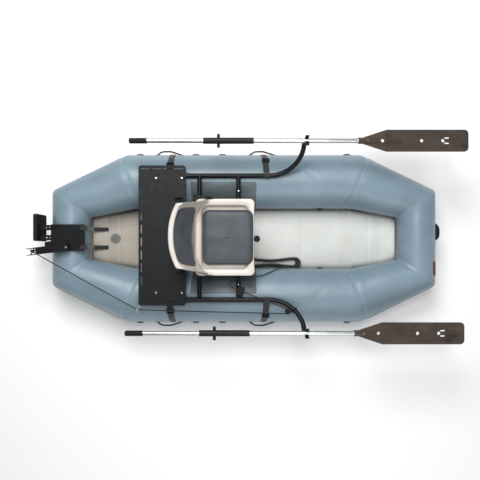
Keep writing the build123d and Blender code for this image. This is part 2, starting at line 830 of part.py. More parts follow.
with BuildPart() as seat_pan:
    with BuildSketch(Plane.XY.offset(seat_bottom)):
        with Locations((seat_x, 0)):
            RectangleRounded(seat_length - 24, 2 * seat_half_width - 60, 40)
    with BuildSketch(Plane.XY.offset(seat_side_top)):
        with Locations((seat_x, 0)):
            RectangleRounded(seat_length, 2 * seat_half_width, 46)
    loft()
    with BuildSketch(Plane.XY.offset(seat_side_top)):
        with Locations((seat_x + 14, 0)):
            RectangleRounded(seat_length - 36, 2 * (seat_half_width - bolster), 40)
    extrude(amount=pocket_floor - seat_side_top, mode=Mode.SUBTRACT)
    with BuildSketch(Plane.XY.offset(seat_bottom)):
        with Locations((seat_x, 0)):
            RectangleRounded(seat_length - 50, 2 * seat_half_width - 110, 30)
    extrude(amount=pocket_floor - seat_wall - seat_bottom, mode=Mode.SUBTRACT)
    with Locations(*[(x, y, pocket_floor) for x, y in seat_screws]):
        Cylinder(18, pocket_floor - seat_bottom, align=(Align.CENTER, Align.CENTER, Align.MAX))
        Cylinder(screw_radius + fit_gap, 2 * (pocket_floor - seat_bottom), mode=Mode.SUBTRACT)
        Cylinder(7.6, 8, mode=Mode.SUBTRACT)
write(seat_pan, "seat_pan")

with BuildPart() as seat_cushion:
    with BuildSketch(Plane.XY.offset(pocket_floor + fit_gap)):
        with Locations((cushion_rear + cushion_length / 2, 0)):
            RectangleRounded(cushion_length, cushion_width, 40)
    extrude(amount=cushion_top - pocket_floor)
    fillet(seat_cushion.edges().group_by(Axis.Z)[-1], 18)
write(seat_cushion, "seat_cushion")

back_bottom = hinge_z + 12
back_bottom_corner = hinge_x - 26
back_bottom_half_width = seat_half_width - 14


def back_section(height, thickness, inset, margin):
    """Curved band across the seat back at one height, hollow towards the sitter."""
    share = (height - back_bottom) / (back_top - back_bottom)
    corner_x = back_bottom_corner + share * (back_top_corner - back_bottom_corner) + inset
    mid_x = back_bottom_mid + share * (back_top_mid - back_bottom_mid) + inset
    half = back_bottom_half_width + share * (back_top_half_width - back_bottom_half_width) - margin
    with BuildSketch(Plane.XY.offset(height)) as section:
        with BuildLine():
            ThreePointArc((corner_x, -half), (mid_x, 0), (corner_x, half))
            Line((corner_x, half), (corner_x + thickness, half))
            ThreePointArc(
                (corner_x + thickness, half), (mid_x + thickness, 0), (corner_x + thickness, -half)
            )
            Line((corner_x + thickness, -half), (corner_x, -half))
        make_face()
    return section


with BuildPart() as seat_back_shell:
    add(back_section(back_bottom, back_wall, 0, 0).sketch)
    add(back_section(back_top, back_wall, 0, 0).sketch)
    loft()
    rim = back_section(back_top, back_wall + 10, -5, 0)
    add(rim.sketch)
    extrude(amount=12)
write(seat_back_shell, "seat_back_shell")

with BuildPart() as seat_back_cushion:
    add(back_section(back_bottom + 40, 24, back_wall + fit_gap, 40).sketch)
    add(back_section(back_top - 14, 24, back_wall + fit_gap, 26).sketch)
    loft()
write(seat_back_cushion, "seat_back_cushion")

hinge_y = seat_half_width + 2
plate_thickness = 3.0

with BuildPart() as port_hinge_plate:
    plate_plane = Plane(origin=(hinge_x, hinge_y, hinge_z), x_dir=(1, 0, 0), z_dir=(0, -1, 0))
    with BuildSketch(plate_plane.offset(-plate_thickness)):
        SlotOverall(50, 26)
        with Locations((24, -16)):
            Rectangle(60, 26)
    extrude(amount=plate_thickness)
    with Locations(Plane(origin=(hinge_x, hinge_y + plate_thickness, hinge_z), z_dir=(0, 1, 0))):
        Cylinder(
            hinge_pin_radius,
            3 * plate_thickness,
            align=(Align.CENTER, Align.CENTER, Align.MIN),
        )
    with Locations(Plane(origin=(hinge_x, hinge_y + 3 * plate_thickness, hinge_z), z_dir=(0, 1, 0))):
        Cylinder(hinge_pin_radius + 3, 2, align=(Align.CENTER, Align.CENTER, Align.MIN))

with BuildPart() as seat_hinge_plates:
    add(port_hinge_plate.part)
    mirror(about=Plane.XZ)
write(seat_hinge_plates, "seat_hinge_plates")

arm_plane = Plane(origin=(hinge_x, hinge_y, hinge_z), x_dir=(1, 0, 0), z_dir=(0, -1, 0))
strut_x, strut_z = -80.0, 122.0          # from the hinge pin

with BuildPart() as seat_hinge_arms:
    with BuildSketch(arm_plane.offset(-plate_thickness - 1)):
        with BuildLine():
            Polyline((0, -12), (14, 0), (8, 16), (-70, 134), (-94, 122), (-12, -2), close=True)
        make_face()
        Circle(hinge_pin_radius + running_gap, mode=Mode.SUBTRACT)
    extrude(amount=-plate_thickness)
    with Locations(arm_plane.offset(-plate_thickness - 1)):
        with Locations((strut_x, strut_z, 0)):
            Cylinder(6, 50, align=(Align.CENTER, Align.CENTER, Align.MIN))
    add(seat_back_shell.part, mode=Mode.SUBTRACT)
    mirror(about=Plane.XZ)
write(seat_hinge_arms, "seat_hinge_arms")

with BuildPart() as seat_mount:
    mount_top = seat_bottom - fit_gap
    mount_base = rail_z + bar_radius + fit_gap
    for side in (-1, 1):
        with Locations(((front_bar_x + mid_bar_x) / 2, side * mount_y, mount_base)):
            Box(
                front_bar_x - mid_bar_x + 40,
                60,
                mount_top - mount_base,
                align=(Align.CENTER, Align.CENTER, Align.MIN),
            )
            Box(
                front_bar_x - mid_bar_x + 80,
                54,
                mount_top - mount_base - 3,
                align=(Align.CENTER, Align.CENTER, Align.MIN),
                mode=Mode.SUBTRACT,
            )
            with Locations((0, 40, 0), (0, -40, 0)):
                Box(front_bar_x - mid_bar_x + 40, 26, 3, align=(Align.CENTER, Align.CENTER, Align.MIN))
    with Locations(*[(x, y, mount_top) for x, y in seat_screws]):
        Cylinder(screw_radius + fit_gap, 20, mode=Mode.SUBTRACT)
write(seat_mount, "seat_mount")

# ---------------------------------------------------------------- straps that hold the frame down
strap_width = 38.0
strap_stations = ((-474.0, 60.0), (140.0, 48.0))          # along the rail, and the buckle's angle
strap_lift = pad_thickness + 1.0

with BuildPart() as frame_straps:
    for station, buckle_angle in strap_stations:
        with BuildSketch(Plane.YZ.offset(station - strap_width / 2)):
            with BuildLine():
                reach = side_radius + strap_lift
                wrap = rail_radius + webbing
                tube_arc = CenterArc((side_offset, side_radius), reach, 14, 50)
                Line(tube_arc @ 1, (rail_y + wrap, rail_z))
                CenterArc((rail_y, rail_z), wrap, 0, 200)
            trace(line_width=webbing)
        extrude(amount=strap_width)
    mirror(about=Plane.XZ)
write(frame_straps, "frame_straps")

with BuildPart() as strap_buckles:
    for station, buckle_angle in strap_stations:
        with BuildSketch(on_side_tube(station, buckle_angle, strap_lift + webbing)):
            RectangleRounded(strap_width + 10, 34, 4)
            with Locations((0, 8), (0, -8)):
                Rectangle(strap_width, 5, mode=Mode.SUBTRACT)
        extrude(amount=5)
    mirror(about=Plane.XZ)
write(strap_buckles, "strap_buckles")

# ---------------------------------------------------------------- stern motor mount
platform_low = end_crest + fit_gap
platform_top = platform_low + platform_sheet
bracket_bolts = [(x, y) for x in (-1262.0, -1242.0) for y in bracket_y]
arm_pivot = (arm_bolt[0], arm_bolt[1])

with BuildPart() as motor_platform:
    with BuildSketch(Plane.XY.offset(platform_low)):
        with BuildLine():
            Polyline(
                (platform_front, platform_low_y),
                (platform_front, platform_high_y),
                (platform_notch, platform_high_y),
                (platform_notch, platform_low_y + 62),
                (platform_back, platform_low_y + 56),
                (platform_back, platform_low_y),
                close=True,
            )
        face = make_face()
        fillet(face.vertices().group_by(Axis.X)[-1], 8)
        with Locations(arm_pivot):
            Circle(screw_radius + fit_gap, mode=Mode.SUBTRACT)
    extrude(amount=platform_sheet)
    for y in bracket_y:
        with Locations((board_front + 80, y, platform_top)):
            Box(80, bracket_width, 5, align=(Align.MAX, Align.CENTER, Align.MIN))
        with Locations((board_front, y, platform_top + 5)):
            Box(5, bracket_width, 90, align=(Align.MIN, Align.CENTER, Align.MAX))
        with BuildSketch(Plane(origin=(board_front, y, platform_top), x_dir=(1, 0, 0), z_dir=(0, -1, 0))):
            with BuildLine():
                Polyline((0, 0), (55, 0), (0, -70), close=True)
            make_face()
        extrude(amount=2, both=True)
    with Locations(*[(x, y, platform_top) for x, y in bracket_bolts]):
        Cylinder(screw_radius + fit_gap, 30, mode=Mode.SUBTRACT)
write(motor_platform, "motor_platform")

with BuildPart() as motor_board:
    low_y, high_y = board_y
    with Locations((board_front - fit_gap, (low_y + high_y) / 2, (board_low + board_high) / 2)):
        Box(
            board_thickness,
            high_y - low_y,
            board_high - board_low,
            align=(Align.MAX, Align.CENTER, Align.CENTER),
        )
    fillet(motor_board.edges().filter_by(Axis.X), 12)
write(motor_board, "motor_board")

with BuildPart() as motor_straps:
    for y in motor_strap_y:
        with BuildSketch(Plane.XZ.offset(-y - motor_strap_width / 2)):
            with BuildLine():
                FilletPolyline(
                    (platform_front - 30, platform_top + 1.5),
                    (platform_front + 9, platform_top + 1.5),
                    (platform_front + 14, floor_top + 52),
                    (platform_front + 64, floor_top + 22),
                    (platform_front + 99, floor_top + 4),
                    radius=6,
                )
            trace(line_width=webbing)
        extrude(amount=motor_strap_width)
        with Locations((platform_front + 14, y, platform_top - 16)):
            Box(6, motor_strap_width + 8, 26)
write(motor_straps, "motor_straps")

# ---------------------------------------------------------------- anchor arm, sheaves and cleat
arm_plane_top = Plane(
    origin=(arm_bolt[0], arm_bolt[1], platform_top + fit_gap),
    x_dir=(cos(radians(arm_turn)), sin(radians(arm_turn)), 0),
    z_dir=(0, 0, 1),
)
sheave_swing = -36.0                     # the stern sheave faces along its line, not along the arm
stern_pin_height = line_height - sheave_groove - rope_radius - platform_top - fit_gap

with BuildPart() as anchor_arm:
    with Locations(arm_plane_top):
        with Locations(((arm_reach - arm_back) / 2, 0, 0)):
            Box(
                arm_reach + arm_back,
                anchor_arm_width,
                anchor_arm_height,
                align=(Align.CENTER, Align.CENTER, Align.MIN),
            )
            Box(
                arm_reach + 2 * arm_back,
                anchor_arm_width - 2 * arm_sheet,
                anchor_arm_height,
                align=(Align.CENTER, Align.CENTER, Align.MIN),
                mode=Mode.SUBTRACT,
            )
            with Locations((-30, 0, 0)):
                Box(
                    arm_reach + arm_back - 60,
                    anchor_arm_width - 2 * arm_sheet,
                    arm_sheet,
                    align=(Align.CENTER, Align.CENTER, Align.MIN),
                )
                with Locations((0, 0, anchor_arm_height - arm_sheet)):
                    Box(
                        arm_reach + arm_back - 60,
                        anchor_arm_width - 2 * arm_sheet,
                        arm_sheet,
                        align=(Align.CENTER, Align.CENTER, Align.MIN),
                    )
        Cylinder(screw_radius + fit_gap, 4 * anchor_arm_height, mode=Mode.SUBTRACT)
        with Locations(Location((stern_sheave_reach, 0, stern_pin_height), (0, 0, sheave_swing))):
            with Locations(Plane(origin=(0, 0, 0), z_dir=(0, 1, 0))):
                Cylinder(sheave_pin_radius, anchor_arm_width / cos(radians(sheave_swing)))
write(anchor_arm, "anchor_arm")


def sheave():
    """Grooved wheel about +Z with a running bore."""
    with BuildPart() as wheel:
        with BuildSketch(Plane.XZ):
            with BuildLine():
                Polyline(
                    (sheave_pin_radius + running_gap, -sheave_width / 2),
                    (sheave_radius, -sheave_width / 2),
                    (sheave_radius, -rope_radius - groove_play),
                    (sheave_groove - groove_play, -rope_radius),
                    (sheave_groove - groove_play, rope_radius),
                    (sheave_radius, rope_radius + groove_play),
                    (sheave_radius, sheave_width / 2),
                    (sheave_pin_radius + running_gap, sheave_width / 2),
                    close=True,
                )
            make_face()
        revolve(axis=Axis.Z)
    return wheel.part


stern_sheave_place = (
    arm_plane_top.location
    * Location((stern_sheave_reach, 0, stern_pin_height), (0, 0, sheave_swing))
    * Location((0, 0, 0), (90, 0, 0))
)

with BuildPart() as anchor_sheave:
    add(stern_sheave_place * sheave())
write(anchor_sheave, "anchor_sheave")

block_place = Location((block_centre[0], block_centre[1], block_height))

with BuildPart() as turning_sheave:
    add(block_place * sheave())
write(turning_sheave, "turning_sheave")

hitch_turn = radians(49)               # where the block hangs from the starboard arm
hitch = Vector(
    arm_start + arm_radius * sin(hitch_turn),
    -rail_y - arm_radius * (1 - cos(hitch_turn)) * cos(radians(arm_tilt)),
    rail_z + arm_radius * (1 - cos(hitch_turn)) * sin(radians(arm_tilt)),
)
hitch_side = Vector(0, -lift_direction.Y, lift_direction.Z)
hitch_heading = Vector(1, 0, 0) * cos(hitch_turn) + hitch_side * sin(hitch_turn)


def rod(start, end, radius):
    """Round bar between two points."""
    heading = Vector(*end) - Vector(*start)
    with BuildPart() as bar:
        with BuildSketch(Plane(origin=start, z_dir=heading)):
            Circle(radius)
        extrude(amount=heading.length)
    return bar.part


cheek = 2.0
cheek_gap = 0.5

with BuildPart() as turning_block:
    with Locations(block_place):
        Cylinder(sheave_pin_radius, sheave_width + 2 * (cheek + cheek_gap))
        for level in (-1, 1):
            with Locations((0, 0, level * (sheave_width / 2 + cheek_gap + cheek / 2))):
                Cylinder(sheave_radius + 1, cheek)
                with Locations((sheave_radius + 2, 0, 0)):
                    Box(10, 12, cheek)
        with Locations((sheave_radius + 5.5, 0, 0)):
            Box(3, 12, sheave_width + 2 * (cheek + cheek_gap))
    with Locations(Plane(origin=hitch, z_dir=hitch_heading)):
        Torus(rail_radius + 5.2, 3)
    becket = Vector(block_centre[0] + sheave_radius + 6, block_centre[1], block_height)
    add(rod(becket, hitch - Vector(0, 0, rail_radius + 5), 2.5))
write(turning_block, "turning_block")

with BuildPart() as fairlead_ring:
    with Locations(Plane(origin=fairlead, z_dir=(cos(radians(14)), -sin(radians(14)), 0))):
        Torus(12, 4)
    add(rod((-660, deck_y - deck_width / 2 - fit_gap, 388), (-671, -446, 390), 4))
    with Locations((-660, deck_y - deck_width / 2 - fit_gap, 386)):
        Box(26, 3, 16, align=(Align.CENTER, Align.MAX, Align.CENTER))
write(fairlead_ring, "fairlead_ring")

cleat_low = rail_z + bar_radius + fit_gap
cleat_plane = Plane(origin=(*cleat_centre, cleat_low), x_dir=(0.951, -0.309, 0), z_dir=(0, 0, 1))
cam_pivot = 18.0
cam_radius = 11.6
cam_offset = 2.5
cam_height = 14.0
cleat_plate = 4.0

with BuildPart() as cleat_base:
    with Locations(cleat_plane):
        with Locations((-8, 0, 0)):
            Box(44, 58, cleat_plate, align=(Align.CENTER, Align.CENTER, Align.MIN))
        for side in (-1, 1):
            with Locations((0, side * cam_pivot, cleat_plate)):
                Cylinder(4, cam_height + 1, align=(Align.CENTER, Align.CENTER, Align.MIN))
            with Locations((0, side * cam_pivot, cleat_plate + cam_height + 1)):
                Cylinder(7, 3, align=(Align.CENTER, Align.CENTER, Align.MIN))
write(cleat_base, "cleat_base")


def cam(side):
    """Toothed eccentric that bites the line when the line is pulled back."""
    with BuildPart() as jaw:
        with Locations(cleat_plane):
            with Locations((0, side * (cam_pivot - cam_offset), cleat_plate + 0.5)):
                Cylinder(cam_radius, cam_height, align=(Align.CENTER, Align.CENTER, Align.MIN))
            with Locations((0, side * cam_pivot, cleat_plate)):
                Cylinder(4 + running_gap, 4 * cam_height, mode=Mode.SUBTRACT)
    return jaw.part


with BuildPart() as cleat_cam_inner:
    add(cam(1))
write(cleat_cam_inner, "cleat_cam_inner")

with BuildPart() as cleat_cam_outer:
    add(cam(-1))
write(cleat_cam_outer, "cleat_cam_outer")

# ---------------------------------------------------------------- anchor line
rope_route = [
    (-1353.9, -80.0, 300),
    (-1353.9, -80.0, 400),
    (-675, -458, 392),
    (287.8, -481.8, 392),
    (292.6, -457.9, 392),
    (-58, -324, 397),
    (-90, -302, 397),
    (-90, -268, 398),
    (-52, -256, 400),
    (-8, -262, 396),
    (38, -254, 372),
    (84, -247, 338),
    (130, -238, 310),
    (174, -222, 282),
    (206, -196, 246),
    (226, -183, 200),
    (250, -184, 160),
    (262, -183, 134),
]
sheave_turn = sheave_groove + rope_radius - 0.2
tight_radius = {1: sheave_turn, 2: 20.0, 3: sheave_turn, 4: sheave_turn}
points = [Vector(*point) for point in rope_route]
corner_radii = []
for index in range(1, len(points) - 1):
    back = points[index] - points[index - 1]
    ahead = points[index + 1] - points[index]
    turn = radians(back.get_angle(ahead))
    free = 0.45 * min(back.length, ahead.length) / tan(turn / 2)
    corner_radii.append(tight_radius.get(index, free))
print("rope corner radii", [round(radius, 1) for radius in corner_radii])

with BuildPart() as anchor_rope:
    with BuildLine() as rope_path:
        FilletPolyline(*points, radius=corner_radii)
    with BuildSketch(rope_path.line ^ 0):
        Circle(rope_radius)
    sweep(path=rope_path.line)
rope_area = pi * rope_radius**2
rope_length = sum(edge.length for edge in rope_path.line.edges())
volume_ratio = anchor_rope.part.volume / rope_area / rope_length
print("rope length", round(rope_length), "volume ratio", round(volume_ratio, 4))
write(anchor_rope, "anchor_rope")

with BuildPart() as rope_hank:
    with BuildSketch(Plane.XY.offset(floor_top + fit_gap)):
        with Locations((122, -183)):
            SlotOverall(296, 38)
    extrude(amount=hank_height)
    with BuildSketch(Plane.XY.offset(floor_top + fit_gap)):
        with Locations((316, -169)):
            Ellipse(66, 35)
    extrude(amount=16)
write(rope_hank, "rope_hank")

with BuildPart() as anchor_ring:
    knot_x, knot_y, knot_z = rope_route[0]
    with Locations((knot_x, knot_y, knot_z - 9.1)):
        Sphere(9.0)
    with Locations(Plane(origin=(knot_x, knot_y, knot_z - 34), z_dir=(0, 1, 0))):
        Torus(16, 3.5)
write(anchor_ring, "anchor_ring")

# ---------------------------------------------------------------- stainless fasteners


def screw(x, y, seat, length, head_radius=7.0):
    """Pan-head screw with a socket, head up, standing on a seat height."""
    with BuildPart() as fastener:
        with Locations((x, y, seat)):
            Cylinder(head_radius, 3.4, align=(Align.CENTER, Align.CENTER, Align.MIN))
            Cylinder(screw_radius, length, align=(Align.CENTER, Align.CENTER, Align.MAX))
        fillet(fastener.edges().group_by(Axis.Z)[-1], 1.6)
        with Locations((x, y, seat + 3.4)):
            Cylinder(2, 3, mode=Mode.SUBTRACT)
    return fastener.part


with BuildPart() as fasteners:
    for x, y in deck_screws:
        add(screw(x, y, deck_top, deck_top - rail_z - bar_radius + 1.2))
    for x, y in bracket_bolts:
        add(screw(x, y, platform_top + 5, platform_sheet + 4, 5.0))
    arm_bolt_seat = platform_top + fit_gap + anchor_arm_height
    add(screw(*arm_pivot, arm_bolt_seat, anchor_arm_height + platform_sheet - 1, 6.5))
    for x, y in seat_screws:
        add(screw(x, y, pocket_floor - 3.6, 45))
write(fasteners, "fasteners")
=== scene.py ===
import bpy
import math
import numpy as np
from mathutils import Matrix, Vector


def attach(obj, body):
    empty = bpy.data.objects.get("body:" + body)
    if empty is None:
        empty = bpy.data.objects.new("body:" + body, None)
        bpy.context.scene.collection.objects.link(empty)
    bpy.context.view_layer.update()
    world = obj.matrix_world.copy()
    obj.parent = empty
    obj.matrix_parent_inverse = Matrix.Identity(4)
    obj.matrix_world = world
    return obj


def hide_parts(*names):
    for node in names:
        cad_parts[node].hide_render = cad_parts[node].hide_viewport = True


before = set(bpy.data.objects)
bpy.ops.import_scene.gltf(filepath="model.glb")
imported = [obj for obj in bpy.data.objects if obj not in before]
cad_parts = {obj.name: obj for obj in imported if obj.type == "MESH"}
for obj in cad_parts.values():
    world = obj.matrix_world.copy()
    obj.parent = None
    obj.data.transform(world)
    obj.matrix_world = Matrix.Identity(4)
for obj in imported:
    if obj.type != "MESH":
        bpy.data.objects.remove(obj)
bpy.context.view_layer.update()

# Inflatable dinghy. Metres, +X to the bow, +Y to port, +Z up, floor of the room at z = 0.

hull = {
    "sideRadius": 0.178,
    "sideCorner": (0.735, 0.378, 0.178),
    "endRadius": 0.121,
    "endCorner": (1.1405, 0.237, 0.222),
    "stationStep": 0.011,
    "around": 112,
    "cornerBlend": 0.012,      # how softly the cloth turns at a weld
    "seamX": 0.750,            # where the quarter's weld crosses the side tube's top
    "seamSlope": 0.417,        # how much that weld runs forward per metre outboard
    "panelX": -0.340,
    "dentX": 0.46,
}


def linear(hexColour):
    # sRGB hex to linear light
    parts = [int(hexColour[i:i + 2], 16) / 255 for i in (1, 3, 5)]
    curve = [p / 12.92 if p <= 0.04045 else ((p + 0.055) / 1.055) ** 2.4 for p in parts]
    return (*curve, 1.0)


def addNode(tree, kind, sockets=None, **settings):
    # one node, its settings, and its sockets set to values or linked to other sockets
    node = tree.nodes.new(kind)
    for name, value in settings.items():
        setattr(node, name, value)
    for key, value in (sockets or {}).items():
        if isinstance(value, bpy.types.NodeSocket):
            tree.links.new(value, node.inputs[key])
        else:
            node.inputs[key].default_value = value
    return node


def startMaterial(name, roughness, metallic=0.0, coat=0.0, coatRoughness=0.2, sheen=0.0, specular=0.5):
    material = bpy.data.materials.new(name)
    material.use_nodes = True
    tree = material.node_tree
    tree.nodes.clear()
    shader = addNode(tree, "ShaderNodeBsdfPrincipled", {
        "Roughness": roughness, "Metallic": metallic, "Coat Weight": coat, "Coat Roughness": coatRoughness,
        "Sheen Weight": sheen, "Specular IOR Level": specular})
    addNode(tree, "ShaderNodeOutputMaterial", {"Surface": shader.outputs[0]})
    return material, tree, shader


def objectPoint(tree, scale=(1, 1, 1)):
    # Object coordinates, stretched by scale
    place = addNode(tree, "ShaderNodeTexCoord")
    return addNode(tree, "ShaderNodeMapping", {"Vector": place.outputs["Object"], "Scale": scale}).outputs[0]


def uvPoint(tree):
    return addNode(tree, "ShaderNodeTexCoord").outputs["UV"]


def noise(tree, point, scale, detail=4.0, rough=0.55):
    return addNode(tree, "ShaderNodeTexNoise", {
        "Vector": point, "Scale": scale, "Detail": detail, "Roughness": rough}).outputs["Fac"]


def between(tree, value, low, high, outLow=0.0, outHigh=1.0):
    return addNode(tree, "ShaderNodeMapRange", {
        0: value, 1: low, 2: high, 3: outLow, 4: outHigh}, clamp=True).outputs[0]


def blendColour(tree, amount, first, second):
    # a colour is a hex value or another socket
    mixer = addNode(tree, "ShaderNodeMix", data_type="RGBA")
    for key, value in ((0, amount), (6, first), (7, second)):
        if isinstance(value, bpy.types.NodeSocket):
            tree.links.new(value, mixer.inputs[key])
        else:
            mixer.inputs[key].default_value = linear(value)
    return mixer.outputs[2]


def paint(tree, shader, colour):
    tree.links.new(colour, shader.inputs["Base Color"])


def math2(tree, operation, a, b=0.0):
    return addNode(tree, "ShaderNodeMath", {0: a, 1: b}, operation=operation).outputs[0]


def bumped(tree, shader, height, strength, distance, under=None):
    sockets = {"Height": height, "Strength": strength, "Distance": distance}
    if under is not None:
        sockets["Normal"] = under
    bump = addNode(tree, "ShaderNodeBump", sockets)
    tree.links.new(bump.outputs[0], shader.inputs["Normal"])
    return bump.outputs[0]


def shadeInHollows(tree, base, reach, low, high, most, colour):
    # painted shade where the surface is closed in: joints, creases and corners darkened by ambient occlusion
    hollow = addNode(tree, "ShaderNodeAmbientOcclusion", {"Distance": reach}, samples=8).outputs["AO"]
    return blendColour(tree, between(tree, hollow, low, high, most, 0), base, colour)


def clothPattern(tree, pitch):
    # plain weave: two crossed sets of threads, one thread every pitch metres of the UV map
    point = uvPoint(tree)
    split = addNode(tree, "ShaderNodeSeparateXYZ", {"Vector": point})
    warp = math2(tree, "SINE", math2(tree, "MULTIPLY", split.outputs[0], 2 * math.pi / pitch))
    weft = math2(tree, "SINE", math2(tree, "MULTIPLY", split.outputs[1], 2 * math.pi / pitch))
    return math2(tree, "MULTIPLY", warp, weft)


def coatedFabric(name, colour, darker, roughness, weave=0.0011):
    # coated polyester cloth: a soft gloss, cloudy tone, and a weave drawn coarser than its half millimetre
    material, tree, shader = startMaterial(name, roughness, coat=0.18, coatRoughness=0.34, specular=0.45)
    point = objectPoint(tree)
    cloudy = between(tree, noise(tree, point, 3.2, 5), 0.30, 0.70)
    streaks = between(tree, noise(tree, objectPoint(tree, (1.2, 4, 4)), 3, 3), 0.45, 0.80, 0, 0.22)
    base = blendColour(tree, cloudy, colour, darker)
    base = blendColour(tree, streaks, base, "#92a5b1")
    # painted shade: darker colour in joints and creases, from ambient occlusion
    base = shadeInHollows(tree, base, 0.09, 0.15, 0.9, 0.75, "#3f4a50")
    paint(tree, shader, base)
    tree.links.new(between(tree, noise(tree, point, 11, 4), 0.3, 0.7, roughness - 0.05, roughness + 0.08),
                   shader.inputs["Roughness"])
    first = bumped(tree, shader, clothPattern(tree, weave), 0.10, 0.0003)
    second = bumped(tree, shader, noise(tree, point, 26, 5), 0.10, 0.004, first)
    bumped(tree, shader, noise(tree, point, 900, 2), 0.06, 0.0004, second)
    return material


def floorFabric(name):
    # off-white deck sheet, greyer and warmer towards the stern, with scuffs and a rubbed middle
    material, tree, shader = startMaterial(name, 0.5, coat=0.1, coatRoughness=0.4)
    point = objectPoint(tree)
    split = addNode(tree, "ShaderNodeSeparateXYZ", {"Vector": point})
    fore = between(tree, split.outputs[0], -0.75, 0.35)
    base = blendColour(tree, fore, "#a1988c", "#cfd3d1")
    cloudy = between(tree, noise(tree, point, 4.5, 6, 0.62), 0.38, 0.72, 0, 0.45)
    base = blendColour(tree, cloudy, base, "#b7b2a7")
    scuff = between(tree, noise(tree, objectPoint(tree, (3, 14, 3)), 7, 6), 0.60, 0.78, 0, 0.35)
    base = blendColour(tree, scuff, base, "#a9a398")
    # painted shade: darker colour where the pad meets the tubes and in its creases, from ambient occlusion
    base = shadeInHollows(tree, base, 0.07, 0.10, 0.75, 0.85, "#4a4741")
    paint(tree, shader, base)
    grain = addNode(tree, "ShaderNodeTexVoronoi", {"Vector": point, "Scale": 420}).outputs["Distance"]
    first = bumped(tree, shader, grain, 0.12, 0.0004)
    bumped(tree, shader, noise(tree, point, 16, 4), 0.14, 0.005, first)
    return material


def powderCoat(name, colour="#0d0e10", worn="#5d6166", roughness=0.42):
    # sprayed and baked coat on aluminium: fine orange peel, scratches down to paler metal
    material, tree, shader = startMaterial(name, roughness, specular=0.22)
    point = objectPoint(tree)
    dust = between(tree, noise(tree, point, 9, 6), 0.42, 0.75, 0, 0.5)
    base = blendColour(tree, dust, colour, "#1b1d20")
    scratch = between(tree, noise(tree, objectPoint(tree, (2, 60, 60)), 9, 6, 0.7), 0.735, 0.76, 0, 0.55)
    base = blendColour(tree, scratch, base, worn)
    paint(tree, shader, base)
    tree.links.new(between(tree, noise(tree, point, 30, 3), 0.3, 0.7, roughness - 0.06, roughness + 0.1),
                   shader.inputs["Roughness"])
    bumped(tree, shader, noise(tree, point, 700, 2), 0.16, 0.0004)
    return material


def moulded(name, colour, second, roughness, grain=1500, depth=0.18):
    # injection-moulded plastic or rubber with a spark-eroded grain
    material, tree, shader = startMaterial(name, roughness, specular=0.25)
    point = objectPoint(tree)
    cloudy = between(tree, noise(tree, point, 14, 4), 0.35, 0.7)
    paint(tree, shader, blendColour(tree, cloudy, colour, second))
    first = bumped(tree, shader, noise(tree, point, grain, 2), depth, 0.0003)
    bumped(tree, shader, noise(tree, point, 40, 2), 0.05, 0.002, first)
    return material


def seatPlastic(name):
    # rotomoulded shell: warm white, painted shade in hollows, sandy skin
    material, tree, shader = startMaterial(name, 0.38, coat=0.2, coatRoughness=0.3)
    point = objectPoint(tree)
    cloudy = between(tree, noise(tree, point, 6, 5), 0.35, 0.72)
    base = blendColour(tree, cloudy, "#d6d0c9", "#c3bbb1")
    # painted shade: darker colour in the hollows, from ambient occlusion
    base = shadeInHollows(tree, base, 0.05, 0.35, 0.95, 0.55, "#9c8f80")
    paint(tree, shader, base)
    bumped(tree, shader, noise(tree, point, 650, 3), 0.12, 0.0005)
    return material


def vinyl(name, colour="#464b51", second="#3b4045"):
    # grained upholstery vinyl: small cells, wider creases, a soft shine
    material, tree, shader = startMaterial(name, 0.42, specular=0.35, sheen=0.08)
    point = objectPoint(tree)
    cells = addNode(tree, "ShaderNodeTexVoronoi", {"Vector": point, "Scale": 520},
                    feature="DISTANCE_TO_EDGE")
    cloudy = between(tree, noise(tree, point, 10, 5), 0.35, 0.7)
    base = blendColour(tree, cloudy, colour, second)
    paint(tree, shader, base)
    first = bumped(tree, shader, between(tree, cells.outputs["Distance"], 0.0, 0.25), 0.22, 0.0004)
    bumped(tree, shader, noise(tree, point, 22, 4), 0.16, 0.004, first)
    return material


def webbingCloth(name, colour="#101114"):
    # woven polyester webbing: matt, with ribs across and rows of stitches along
    material, tree, shader = startMaterial(name, 0.75, sheen=0.3)
    point = uvPoint(tree)
    split = addNode(tree, "ShaderNodeSeparateXYZ", {"Vector": point})
    rows = math2(tree, "SINE", math2(tree, "MULTIPLY", split.outputs[0], 2 * math.pi / 0.0022))
    ribs = math2(tree, "SINE", math2(tree, "MULTIPLY", split.outputs[1], 2 * math.pi / 0.0030))
    weave = math2(tree, "MULTIPLY", rows, ribs)
    paint(tree, shader, blendColour(tree, between(tree, weave, -1, 1), colour, "#25272b"))
    bumped(tree, shader, weave, 0.5, 0.0006)
    return material


def ropeFibre(name):
    # braided cord: strands crossing at the pitch of the braid, read from the piece's own UV map
    material, tree, shader = startMaterial(name, 0.7, sheen=0.25)
    split = addNode(tree, "ShaderNodeSeparateXYZ", {"Vector": uvPoint(tree)})
    along = math2(tree, "MULTIPLY", split.outputs[0], 900)
    across = math2(tree, "MULTIPLY", split.outputs[1], 900)
    one = math2(tree, "SINE", math2(tree, "ADD", along, across))
    two = math2(tree, "SINE", math2(tree, "SUBTRACT", along, across))
    weave = math2(tree, "MAXIMUM", one, two)
    paint(tree, shader, blendColour(tree, between(tree, weave, -0.2, 1), "#08090a", "#1d1e20"))
    bumped(tree, shader, weave, 0.4, 0.0006)
    return material


